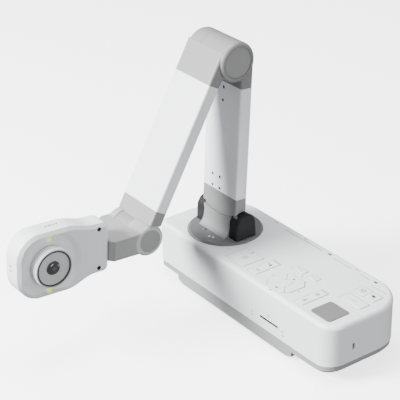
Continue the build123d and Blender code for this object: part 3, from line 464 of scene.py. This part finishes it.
def path_object(name, paths, height):
    """A curve object with one straight-sided spline for each path of (x, y) in millimetres, at a height."""
    data = bpy.data.curves.new(name, "CURVE")
    data.dimensions = "3D"
    for points, closed in paths:
        spline = data.splines.new("POLY")
        spline.points.add(len(points) - 1)
        for point, (x, y) in zip(spline.points, points):
            point.co = (x * MM, y * MM, height * MM, 1.0)
        spline.use_cyclic_u = closed
    made = bpy.data.objects.new(name, data)
    bpy.context.scene.collection.objects.link(made)
    return made


# ---------------------------------------------------------------- places read from the frame
def span(node):
    """A node's box in millimetres: (x0, x1), (y0, y1), (z0, z1)."""
    low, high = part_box(node)
    return [(low[i] / MM, high[i] / MM) for i in range(3)]


def middle(node):
    return [(a + b) / 2 for a, b in span(node)]


LENS_LINE = [c * MM for c in middle("lens_trim_ring")]
PAN_LINE = [c * MM for c in middle("pan_washer")]
WRIST_LINE = [c * MM for c in middle("wrist_pin")]
PANEL_Z = span("top_cover")[2][1]
KEY_Z = span("menu_key")[2][1]
KEY_NODES = ["power_key", "zoom_in_key", "zoom_out_key", "menu_key", "source_key", "bright_up_key"]
KEY_NODES += ["bright_down_key", "freeze_key", "split_key", "rotate_key", "nav_far_key", "nav_left_key"]
KEY_NODES += ["nav_near_key", "nav_right_key", "enter_key"]

FINISH_OF = {
    "shell": ["top_cover"],
    "arm": ["lower_arm_tube", "upper_arm_tube"],
    "head": ["head_back_cover", "head_front_cover"],
    "key": KEY_NODES,
    "grey": ["tilt_cradle", "lower_arm_foot", "elbow_lower_housing", "elbow_upper_housing", "wrist_collar"],
    "block": ["wrist_block"],
    "disc": ["elbow_near_cap", "elbow_far_cap", "wrist_caps"],
    "base": ["bottom_cover"],
    "capture": ["capture_key"],
    "turntable": ["turntable_disc"],
    "black": ["tilt_caps"],
    "blue": ["power_lamp"],
    "lamp": ["led_lamps"],
    "glass": ["lens_glass"],
    "funnel": ["lens_barrel"],
    "trim": ["lens_trim_ring"],
    "ring": ["focus_ring"],
    "rubber": ["rubber_feet"],
    "screw": ["case_screws", "head_screws", "lower_arm_screws"],
    "steel": ["lock_plate", "tilt_pin", "elbow_pin", "wrist_pin", "roll_shaft",
              "ballast_plate", "pan_retainer"],
    "washer": ["pan_washer", "elbow_friction_washers", "roll_bush"],
    "board": ["main_board", "key_board", "sensor_board"],
    "switch": ["key_switches", "card_reader", "port_sockets"],
    "ports": ["port_panel"],
}
FINISHES = {}


# ---------------------------------------------------------------- sizes and colours
def colour_prop(label, about, value):
    return bpy.props.FloatVectorProperty(
        name=label, description=about, subtype="COLOR", size=3, default=value, min=0.0, max=1.0
    )


def length_prop(label, about, value):
    return bpy.props.FloatProperty(
        name=label, description=about, subtype="DISTANCE", default=value, min=0.0
    )


class DocumentCameraColours(bpy.types.PropertyGroup):
    """Colours of the plastics and inks."""

    shell: colour_prop("Shell", "White of the casing, arm tubes and head", (0.84, 0.85, 0.875))
    grey: colour_prop("Joint grey", "Grey of the collars and cradle", (0.222, 0.222, 0.226))
    disc: colour_prop("Hinge caps", "Darker grey of the hinge cover discs", (0.28, 0.28, 0.285))
    base: colour_prop("Lower casing", "Grey of the bottom cover", (0.30, 0.303, 0.306))
    turntable: colour_prop("Turntable", "Grey of the turning disc", (0.125, 0.126, 0.128))
    black: colour_prop("Hinge caps, black", "Black of the tilt hinge caps", (0.012, 0.012, 0.013))
    mark: colour_prop("Dark ink", "Ink of the darker printed marks", (0.012, 0.013, 0.014))
    pale_mark: colour_prop("Pale ink", "Ink of the paler printed marks", (0.16, 0.163, 0.167))


class DocumentCameraSizes(bpy.types.PropertyGroup):
    """Sizes of the small repeated detail."""

    ribs: bpy.props.IntProperty(name="Ribs", description="Ribs round the focus ring", default=64, min=8)
    rib_width: length_prop("Rib size", "Radius of one rib of the focus ring", 0.00045)
    stroke: length_prop("Stroke", "Width of the printed strokes", 0.0009)
    ink_height: length_prop("Ink height", "How far the printing stands up", 0.00008)
    lens_length: bpy.props.FloatProperty(
        name="Lens", description="Focal length in mm", default=128.0, min=10.0
    )


def colours():
    return bpy.context.scene.document_camera_colours


def sizes():
    return bpy.context.scene.document_camera_sizes


# ---------------------------------------------------------------- operators
class DOCCAM_OT_camera(bpy.types.Operator):
    """Place the camera for the main view"""

    bl_idname = "doccam.camera"
    bl_label = "Main camera"

    def execute(self, context):
        data = bpy.data.cameras.new("main_camera")
        data.sensor_width = 36.0
        data.lens = sizes().lens_length
        data.clip_end = 20.0
        camera = bpy.data.objects.new("main_camera", data)
        context.scene.collection.objects.link(camera)
        right = Vector((0.5940, 0.8045, -0.0127)).normalized()
        back = Vector((0.7172, -0.5223, 0.4614)).normalized()
        up = back.cross(right).normalized()
        right = up.cross(back)
        place = Vector((1.0969, -0.9088, 0.8852))
        rows = [(right[i], up[i], back[i], place[i]) for i in range(3)]
        camera.matrix_world = Matrix(rows + [(0, 0, 0, 1)])
        context.scene.camera = camera
        return {"FINISHED"}


class DOCCAM_OT_finishes(bpy.types.Operator):
    """Give every part of the frame its finish"""

    bl_idname = "doccam.finishes"
    bl_label = "Finishes"

    def execute(self, context):
        c = colours()
        lens_rings = ("x", LENS_LINE, 0.95, 0.07)
        disc_rings = ("z", PAN_LINE, 0.5, 0.004)
        head_seam = span("head_back_cover")[0][1]
        # painted highlight on the wrist block's flat shoulder ring, 13.4 to 18.3 mm out, lightened 1.6
        # times
        wrist_rim_highlight = (WRIST_LINE, 13.4, 18.3, 1.6)
        FINISHES.update(
            shell=moulded("White casing", c.shell, 0.42, 0.45, 0.010, 0.06, 0.014),
            arm=moulded("White arm", c.shell, 0.38, 0.35, 0.007, 0.08, 0.012),
            # painted shade along the head's cover seam, a band 1.4 mm wide
            head=moulded("White head", c.shell, 0.36, 0.30, 0.006, 0.10, 0.012, seam_shade=(head_seam, 0.7)),
            key=moulded("White keys", c.shell, 0.34, 0.25, 0.005, 0.12, 0.012),
            # painted shade and highlight: the ring between the ribs is the shell white darkened to 0.55 so
            # its grooves read dark, and the ribs are a lit copy at 1.05
            ring=moulded("Ring between ribs", shade(c.shell, 0.55), 0.45, 0.25, 0.006, 0.0, 0.015),
            rib=moulded("Ring ribs", shade(c.shell, 1.05), 0.40, 0.25, 0.004, 0.05, 0.015),
            grey=moulded("Joint grey", c.grey, 0.46, 0.5, 0.012, 0.04, 0.03),
            block=moulded("Wrist grey", shade(c.grey, 1.48), 0.46, 0.5, 0.012, 0.04, 0.03, rim_highlight=wrist_rim_highlight),
            disc=moulded("Hinge cover grey", c.disc, 0.5, 0.45, 0.010, 0.0, 0.03),
            base=moulded("Lower casing grey", c.base, 0.55, 0.8, 0.03, 0.0, 0.035),
            capture=moulded("Capture key grey", shade(c.grey, 0.72), 0.4, 0.3, 0.006, 0.1, 0.02),
            turntable=moulded("Turntable grey", c.turntable, 0.4, 0.4, 0.006, 0.1, 0.02, disc_rings),
            funnel=moulded("Lens surround", (0.60, 0.605, 0.61), 0.42, 0.3, 0.004, 0.0, 0.02, lens_rings),
            black=moulded("Black caps", c.black, 0.55, 0.4, 0.012, 0.0, 0.12, gleam=0.25),
            trim=moulded("Dark trim", (0.035, 0.036, 0.04), 0.3, 0.3, 0.004, 0.3, 0.08),
            switch=moulded("Black housings", (0.015, 0.015, 0.016), 0.5, 0.4, 0.01, 0.0, 0.1),
            ports=moulded("Socket panel", (0.10, 0.10, 0.105), 0.5, 0.5, 0.012, 0.0, 0.06),
            washer=moulded("Bearing plastic", (0.55, 0.54, 0.5), 0.5, 0.4, 0.006, 0.0, 0.05),
            rubber=rubber("Foot rubber", (0.022, 0.022, 0.023)),
            screw=metal("Blackened screws", (0.045, 0.046, 0.05), 0.42),
            steel=metal("Plated steel", (0.55, 0.56, 0.58), 0.3),
            board=circuit("Solder mask", (0.02, 0.09, 0.045)),
            blue=lit_lens("Power lamp", (0.42, 0.72, 0.80), (0.35, 0.80, 0.95), 0.12),
            lamp=lit_lens("Work lamps", (0.74, 0.78, 0.16), (0.95, 0.97, 0.25), 0.7),
            glass=coated_glass("Lens glass", (0.05, 0.05, 0.055), LENS_LINE),
            dark_ink=ink("Dark ink", c.mark),
            pale_ink=ink("Pale ink", c.pale_mark),
        )
        for finish, nodes in FINISH_OF.items():
            for name in nodes:
                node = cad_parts[name]
                node.data.materials.clear()
                node.data.materials.append(FINISHES[finish])
        return {"FINISHED"}


class DOCCAM_OT_focus_ribs(bpy.types.Operator):
    """Stand fine ribs round the focus ring"""

    bl_idname = "doccam.focus_ribs"
    bl_label = "Focus ring ribs"

    def execute(self, context):
        (x0, x1), (y0, y1), (z0, z1) = span("focus_ring")
        base_r = (y1 - y0) / 2
        front_r = base_r - 1.2
        long = x1 - x0 - 1.6
        inputs = {
            "Count": sizes().ribs,
            "Radius": (base_r + front_r) / 2 * MM - 0.00006,
            "Length": long * MM,
            "Thickness": sizes().rib_width,
            "Slope": math.atan2(front_r - base_r, x1 - x0),
            "Centre": ((x0 + x1) / 2 * MM, (y0 + y1) / 2 * MM, (z0 + z1) / 2 * MM),
            "Material": FINISHES["rib"],
        }
        grown("focus_ribs", rib_group(), inputs, FINISHES["rib"], "focus_ring_body")
        return {"FINISHED"}


def letter_bars(x, y, length, gap, count):
    """A row of short strokes that stands for a word."""
    step = length / count
    bars = []
    for i in range(count):
        a = -length / 2 + i * step
        b = a + step - gap
        bars.append(([(x + a, y), (x + b, y)], False))
    return bars


class DOCCAM_OT_pale_marks(bpy.types.Operator):
    """Print the pale key legends and the lines along the sockets"""

    bl_idname = "doccam.pale_marks"
    bl_label = "Pale legends"

    def execute(self, context):
        far = [((-44, 46.6), (22, 48.6)), ((44, 47.0), (73, 47.4)), ((88, 46.8), (104, 46.4))]
        on_panel = [([a, b], False) for a, b in far]
        short = ((-64, 49.6), (-11, 50.6), (80, 50.4))
        on_panel += [([(x - 3.5, y), (x + 3.5, y)], False) for x, y in short]
        for key in ("zoom_in_key", "bright_up_key"):
            (x0, x1), (y0, y1), _ = span(key)
            on_panel.append(([(x0 + 1, y1 + 2.2), (x1 - 1, y1 + 2.2)], False))
        on_panel += letter_bars(126, 40.2, 24, 0.9, 7)
        self.write("pale_panel_marks", on_panel, PANEL_Z, "base")
        rims = []
        for key in KEY_NODES[:10]:
            (x0, x1), (y0, y1), _ = span(key)
            flange_x, flange_y = (0.0, 1.0) if key in ("split_key", "rotate_key") else (1.0, 0.0)
            a, b = x0 + flange_x - RIM_CLEAR, x1 - flange_x + RIM_CLEAR
            c, d = y0 + flange_y - RIM_CLEAR, y1 - flange_y + RIM_CLEAR
            rims.append(([(a, c), (b, c), (b, d), (a, d)], True))
        mid_x, mid_y, _ = middle("enter_key")
        half = span("nav_far_key")[1][1] - 1.0 - mid_y + RIM_CLEAR
        flat = half - PAD_CUT
        eight = [(-half, -flat), (-flat, -half), (flat, -half), (half, -flat)]
        eight += [(-a, -b) for a, b in eight]
        rims.append(([(mid_x + a, mid_y + b) for a, b in eight], True))
        self.write("key_rims", rims, PANEL_Z, "base", 0.5)
        for key in ("menu_key", "source_key", "freeze_key", "capture_key"):
            x, y, _ = middle(key)
            length = min(span(key)[0][1] - span(key)[0][0], 16) * 0.6
            legend = letter_bars(x, y, length, 0.8, 4)
            self.write(key.replace("_key", "_legend"), legend, KEY_Z, key + "_body")
        for key, ring in (("bright_up_key", 2.6), ("bright_down_key", 1.8)):
            x, y, _ = middle(key)
            rays = [2 * math.pi * i / 8 for i in range(8)]
            sun = [(round_outline(x, y, ring / 2), True)]
            for a in rays:
                inner = (x + (ring / 2 + 0.8) * math.cos(a), y + (ring / 2 + 0.8) * math.sin(a))
                outer = (x + (ring / 2 + 1.8) * math.cos(a), y + (ring / 2 + 1.8) * math.sin(a))
                sun.append(([inner, outer], False))
            self.write(key.replace("_key", "_sun"), sun, KEY_Z, key + "_body")
        return {"FINISHED"}

    def write(self, name, paths, height, body, thin=1.0):
        top = height + sizes().ink_height / MM / 4
        host = path_object(name + "_paths", paths, top)
        pale = FINISHES["pale_ink"]
        inputs = {"Width": sizes().stroke * thin, "Height": sizes().ink_height, "Material": pale}
        grown(name, stroke_group(), inputs, pale, body, host)


class DOCCAM_OT_dark_marks(bpy.types.Operator):
    """Print the dark symbols on and round the keys"""

    bl_idname = "doccam.dark_marks"
    bl_label = "Dark symbols"

    def execute(self, context):
        ink_top = sizes().ink_height / MM

        def pad(work):
            (x0, x1), (y0, y1), _ = span("nav_far_key")
            mid_x, mid_y, _ = middle("enter_key")
            reach = y1 - mid_y + 3.0
            for turn in range(4):
                a = turn * math.pi / 2
                tip = Vector((math.cos(a), math.sin(a)))
                side = Vector((-tip.y, tip.x))
                at = Vector((mid_x, mid_y)) + tip * (reach + (1.2 if turn == 1 else 0))
                corners = (at + tip * 1.4, at - tip * 0.9 + side * 1.3, at - tip * 0.9 - side * 1.3)
                plate(work, [tuple(p) for p in corners], PANEL_Z - INK_SINK, PANEL_Z + ink_top)

        add_mesh("direction_marks", pad, FINISHES["dark_ink"], "base")

        def edge_marks(work):
            for x, y in ((33.5, 49.6), (112.1, 48.4)):
                mark = bar_outline(x - 2.6, y, x + 2.6, y, 2.6)
                plate(work, mark, PANEL_Z - INK_SINK, PANEL_Z + ink_top)

        add_mesh("socket_marks", edge_marks, FINISHES["dark_ink"], "base")

        def key_symbol(key, shapes):
            x, y, _ = middle(key)

            def build(work):
                for outline in shapes:
                    moved = [(x + a, y + b) for a, b in outline]
                    plate(work, moved, KEY_Z - INK_SINK, KEY_Z + ink_top)

            name = key.replace("_key", "_symbol")
            add_mesh(name, build, FINISHES["dark_ink"], key + "_body")

        tick = [bar_outline(-0.6, 0, -0.6, 3.4, 0.9), bar_outline(-1.8, 0, 0.6, 0, 0.8)]
        key_symbol("power_key", [[(a - 1.2, b + 11.2) for a, b in o] for o in tick])
        plus = [bar_outline(-3.4, 0, -0.6, 0, 0.8), bar_outline(-2, -1.4, -2, 1.4, 0.8)]
        plus.append(bar_outline(1.6, -2, 1.6, 2, 2.2))
        key_symbol("zoom_in_key", plus)
        minus = [bar_outline(-3.4, 0, -1.0, 0, 0.8), bar_outline(0.2, -1.5, 0.2, 1.5, 0.7)]
        minus += [bar_outline(2.0, -1.5, 2.0, 1.5, 0.7)]
        key_symbol("zoom_out_key", minus)
        split = [bar_outline(-2.4, 2.0, 2.4, 2.0, 0.9), bar_outline(-2.4, -2.0, 2.4, -2.0, 0.9)]
        split += [bar_outline(-2.4, -2, -2.4, 2, 0.9), bar_outline(2.4, -2, 2.4, 2, 0.9)]
        key_symbol("split_key", split)
        rotate = [bar_outline(-2.8, 0.6, 1.2, 0.6, 3.4), bar_outline(2.2, -2.4, 2.2, 2.2, 1.0)]
        key_symbol("rotate_key", rotate)
        near = [round_outline(1.0, -2.0, 1.5)]
        key_symbol("nav_near_key", near)
        far = [bar_outline(-1.4, -0.6, 1.4, -0.6, 1.8)]
        key_symbol("nav_far_key", far)
        return {"FINISHED"}


class DOCCAM_OT_side_marks(bpy.types.Operator):
    """Print the small marks round the card slot and along the head"""

    bl_idname = "doccam.side_marks"
    bl_label = "Side marks"

    def execute(self, context):
        front = span("top_cover")[1][0]
        slot_x = span("card_reader")[0]
        slot_z = middle("card_reader")[2]

        def round_slot(work):
            for x, z, length, tall in (
                (slot_x[0] - 12, slot_z - 0.5, 3.0, 1.0), (slot_x[0] - 11.4, slot_z - 5.0, 2.0, 1.6),
                (53.8, slot_z + 7.8, 4.6, 0.9), (54.6, slot_z + 5.8, 2.6, 0.8),
                (slot_x[1] + 5.6, slot_z - 1.4, 3.2, 1.0), (slot_x[1] + 6.6, slot_z - 6.6, 2.2, 1.8),
            ):
                low = (x - length / 2, z - tall / 2)
                high = (x + length / 2, z + tall / 2)
                outline = [low, (high[0], low[1]), high, (low[0], high[1])]
                near_y, far_y = (front - 0.08) * MM, (front + INK_SINK) * MM
                near_face = [work.verts.new((a * MM, near_y, b * MM)) for a, b in outline]
                far_face = [work.verts.new((a * MM, far_y, b * MM)) for a, b in outline]
                work.faces.new(near_face)
                work.faces.new(far_face[::-1])
                for i in range(4):
                    j = (i + 1) % 4
                    work.faces.new((near_face[j], near_face[i], far_face[i], far_face[j]))

        add_mesh("card_slot_marks", round_slot, FINISHES["pale_ink"], "base")
        cover = BVHTree.FromObject(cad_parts["head_back_cover"], context.evaluated_depsgraph_get())
        lens = Vector(LENS_LINE)

        def round_head(work):
            top = [(math.radians(a), 0.9, 2.4) for a in (62, 67, 72, 75, 80)]
            tip = [(math.radians(a), 1.2, 1.8) for a in (172, 180)]
            for angle, tall, long in top + tip:
                out = Vector((0, math.cos(angle), math.sin(angle)))
                start = Vector((-0.082, lens.y, lens.z)) + out * 0.09
                hit, normal, _, _ = cover.ray_cast(start, -out)
                if hit is None:
                    raise RuntimeError("a head mark misses the cover")
                across = Vector((1, 0, 0))
                along = normal.cross(across).normalized()
                corners = []
                for s, t in ((-1, -1), (1, -1), (1, 1), (-1, 1)):
                    corners.append(hit + across * s * tall * MM + along * t * long / 2 * MM)
                upper = [work.verts.new(p + normal * 0.00008) for p in corners]
                lower = [work.verts.new(p - normal * 0.00012) for p in corners]
                work.faces.new(upper)
                work.faces.new(lower[::-1])
                for i in range(4):
                    j = (i + 1) % 4
                    work.faces.new((upper[j], upper[i], lower[i], lower[j]))

        add_mesh("head_marks", round_head, FINISHES["dark_ink"], "head")
        return {"FINISHED"}


class DOCCAM_OT_openings(bpy.types.Operator):
    """Line the card slot with black and lay a dark ring in the gap round the turntable, both as painted
    shade
    """

    bl_idname = "doccam.openings"
    bl_label = "Slot liner and turntable gap"

    def execute(self, context):
        front = span("top_cover")[1][0]
        (x0, x1), (inner, _), (z0, z1) = span("card_reader")
        x0, x1 = x0 + READER_WALL, x1 - READER_WALL
        z0, z1 = z0 + READER_WALL, z1 - READER_WALL

        # painted shade: black walls line the slot from its mouth back to the reader so the slot reads dark
        def liner(work):
            loops = []
            mouth, back = front + 0.03, inner - 0.02
            for y, wall in ((mouth, 0.0), (mouth, LINER_WALL), (back, LINER_WALL), (back, 0.0)):
                a, b, c, d = x0 + wall, x1 - wall, z0 + wall, z1 - wall
                corners = ((a, c), (b, c), (b, d), (a, d))
                loops.append([work.verts.new((x * MM, y * MM, z * MM)) for x, z in corners])
            for i in range(4):
                ahead, now = loops[(i + 1) % 4], loops[i]
                for j in range(4):
                    k = (j + 1) % 4
                    work.faces.new((now[j], now[k], ahead[k], ahead[j]))

        add_mesh("card_slot_shade_liner", liner, FINISHES["switch"], "base")
        cx, cy, _ = middle("turntable_disc")
        left, right = span("turntable_disc")[0]
        disc_r = (right - left) / 2

        # painted shade: a dark ring fills the bottom of the gap round the turntable
        def gap(work):
            loops = []
            inside, outside, low, high = disc_r + 0.05, disc_r + 0.49, -0.5, 0.03
            for radius, z in ((inside, low), (inside, high), (outside, high), (outside, low)):
                around = round_outline(cx, cy, radius, GAP_SHADE_STEPS)
                loops.append([work.verts.new((x * MM, y * MM, (PANEL_Z + z) * MM)) for x, y in around])
            for i in range(4):
                ahead, now = loops[(i + 1) % 4], loops[i]
                for j in range(GAP_SHADE_STEPS):
                    k = (j + 1) % GAP_SHADE_STEPS
                    work.faces.new((now[j], now[k], ahead[k], ahead[j]))

        add_mesh("turntable_gap_shade_ring", gap, FINISHES["rubber"], "base")
        return {"FINISHED"}


class DOCCAM_OT_hinge_details(bpy.types.Operator):
    """Add a grey tab on the near black cap as a painted highlight, and the two index dots on the turntable
    """

    bl_idname = "doccam.hinge_details"
    bl_label = "Hinge details"

    def execute(self, context):
        (_, x1), (y0, y1), (z0, z1) = span("tilt_caps")
        mid_y = (y0 + y1) / 2

        # painted highlight: a grey tab laid on the near black cap's upper edge where light catches it
        def tab(work):
            turned = Matrix.Rotation(math.radians(38), 4, "X")
            moved = Matrix.Translation(Vector((x1 - 9.5, mid_y - 9.0, z1 - 3.2)) * MM) @ turned
            size = Matrix.Diagonal((0.006, 0.0034, 0.0016, 1))
            bmesh.ops.create_cube(work, size=1.0, matrix=moved @ size)
            edges = work.edges[:]
            bmesh.ops.bevel(work, geom=edges, offset=0.0005, segments=2, affect="EDGES", profile=0.5)

        add_mesh("cap_highlight_tab", tab, FINISHES["grey"], "turntable")
        disc_z = span("turntable_disc")[2][1]
        cx, cy, _ = middle("turntable_disc")

        def dots(work):
            for angle in (-62, -71):
                a = math.radians(angle)
                x, y = cx + 34.0 * math.cos(a), cy + 34.0 * math.sin(a)
                plate(work, round_outline(x, y, 1.3), disc_z - 0.05, disc_z + 0.12)

        add_mesh("turntable_dots", dots, FINISHES["shell"], "turntable")
        return {"FINISHED"}


def lamp(name, place, target, size, power, colour=(1.0, 1.0, 1.0)):
    data = bpy.data.lights.new(name, "AREA")
    data.shape = "DISK"
    data.size = size
    data.energy = power
    data.color = colour
    made = bpy.data.objects.new(name, data)
    bpy.context.scene.collection.objects.link(made)
    made.location = place
    aim = Vector(target) - Vector(place)
    made.rotation_euler = aim.to_track_quat("-Z", "Y").to_euler()
    return made


class DOCCAM_OT_studio(bpy.types.Operator):
    """Set a pale floor and plain soft studio light"""

    bl_idname = "doccam.studio"
    bl_label = "Studio"

    def execute(self, context):
        mesh = bpy.data.meshes.new("studio_floor")
        work = bmesh.new()
        bmesh.ops.create_grid(work, x_segments=2, y_segments=2, size=9.0)
        work.to_mesh(mesh)
        work.free()
        floor = bpy.data.objects.new("studio_floor", mesh)
        context.scene.collection.objects.link(floor)
        material, graph, shader = new_material("Studio floor")
        place = graph.node("ShaderNodeTexCoord").out("Object")
        cloud = graph.noise(place, 3.0)
        paper = graph.mix(cloud, (0.93, 0.93, 0.93, 1), (0.95, 0.95, 0.95, 1))
        graph.feed(shader.inputs["Base Color"], paper)
        shader.inputs["Roughness"].default_value = 0.9
        shader.inputs["Emission Color"].default_value = (1, 1, 1, 1)
        shader.inputs["Emission Strength"].default_value = 2.6
        mesh.materials.append(material)
        floor.visible_diffuse = False
        floor.visible_glossy = False
        world = bpy.data.worlds.new("studio_world")
        world.use_nodes = True
        sky = world.node_tree.nodes["Background"]
        sky.inputs["Color"].default_value = (1.0, 1.0, 1.0, 1.0)
        sky.inputs["Strength"].default_value = 0.36
        context.scene.world = world
        centre = (-0.05, -0.08, 0.15)
        lamp("key_light", (-0.75, -1.9, 1.15), centre, 1.0, 215.0)
        lamp("top_light", (-0.2, -0.2, 2.3), centre, 1.2, 52.0)
        lamp("end_light", (2.3, -0.1, 0.7), centre, 1.3, 26.0)
        return {"FINISHED"}


class DOCCAM_PT_panel(bpy.types.Panel):
    """Lists the steps, sizes and colours"""

    bl_idname = "DOCCAM_PT_panel"
    bl_label = "Document camera"
    bl_space_type = "VIEW_3D"
    bl_region_type = "UI"
    bl_category = "Document camera"

    def draw(self, context):
        for step in STEPS:
            self.layout.operator(step.bl_idname)
        for group in (colours(), sizes()):
            for name in group.__annotations__:
                self.layout.prop(group, name)


STEPS = [
    DOCCAM_OT_camera,
    DOCCAM_OT_finishes,
    DOCCAM_OT_focus_ribs,
    DOCCAM_OT_pale_marks,
    DOCCAM_OT_dark_marks,
    DOCCAM_OT_side_marks,
    DOCCAM_OT_openings,
    DOCCAM_OT_hinge_details,
    DOCCAM_OT_studio,
]
CLASSES = [DocumentCameraColours, DocumentCameraSizes, *STEPS, DOCCAM_PT_panel]


def register():
    for one in CLASSES:
        bpy.utils.register_class(one)
    bpy.types.Scene.document_camera_colours = bpy.props.PointerProperty(type=DocumentCameraColours)
    bpy.types.Scene.document_camera_sizes = bpy.props.PointerProperty(type=DocumentCameraSizes)


def unregister():
    del bpy.types.Scene.document_camera_sizes
    del bpy.types.Scene.document_camera_colours
    for one in reversed(CLASSES):
        bpy.utils.unregister_class(one)


def main():
    register()
    bpy.ops.doccam.camera()
    bpy.ops.doccam.finishes()
    bpy.ops.doccam.focus_ribs()
    bpy.ops.doccam.pale_marks()
    bpy.ops.doccam.dark_marks()
    bpy.ops.doccam.side_marks()
    bpy.ops.doccam.openings()
    bpy.ops.doccam.hinge_details()
    bpy.ops.doccam.studio()


if __name__ == "__main__":
    main()
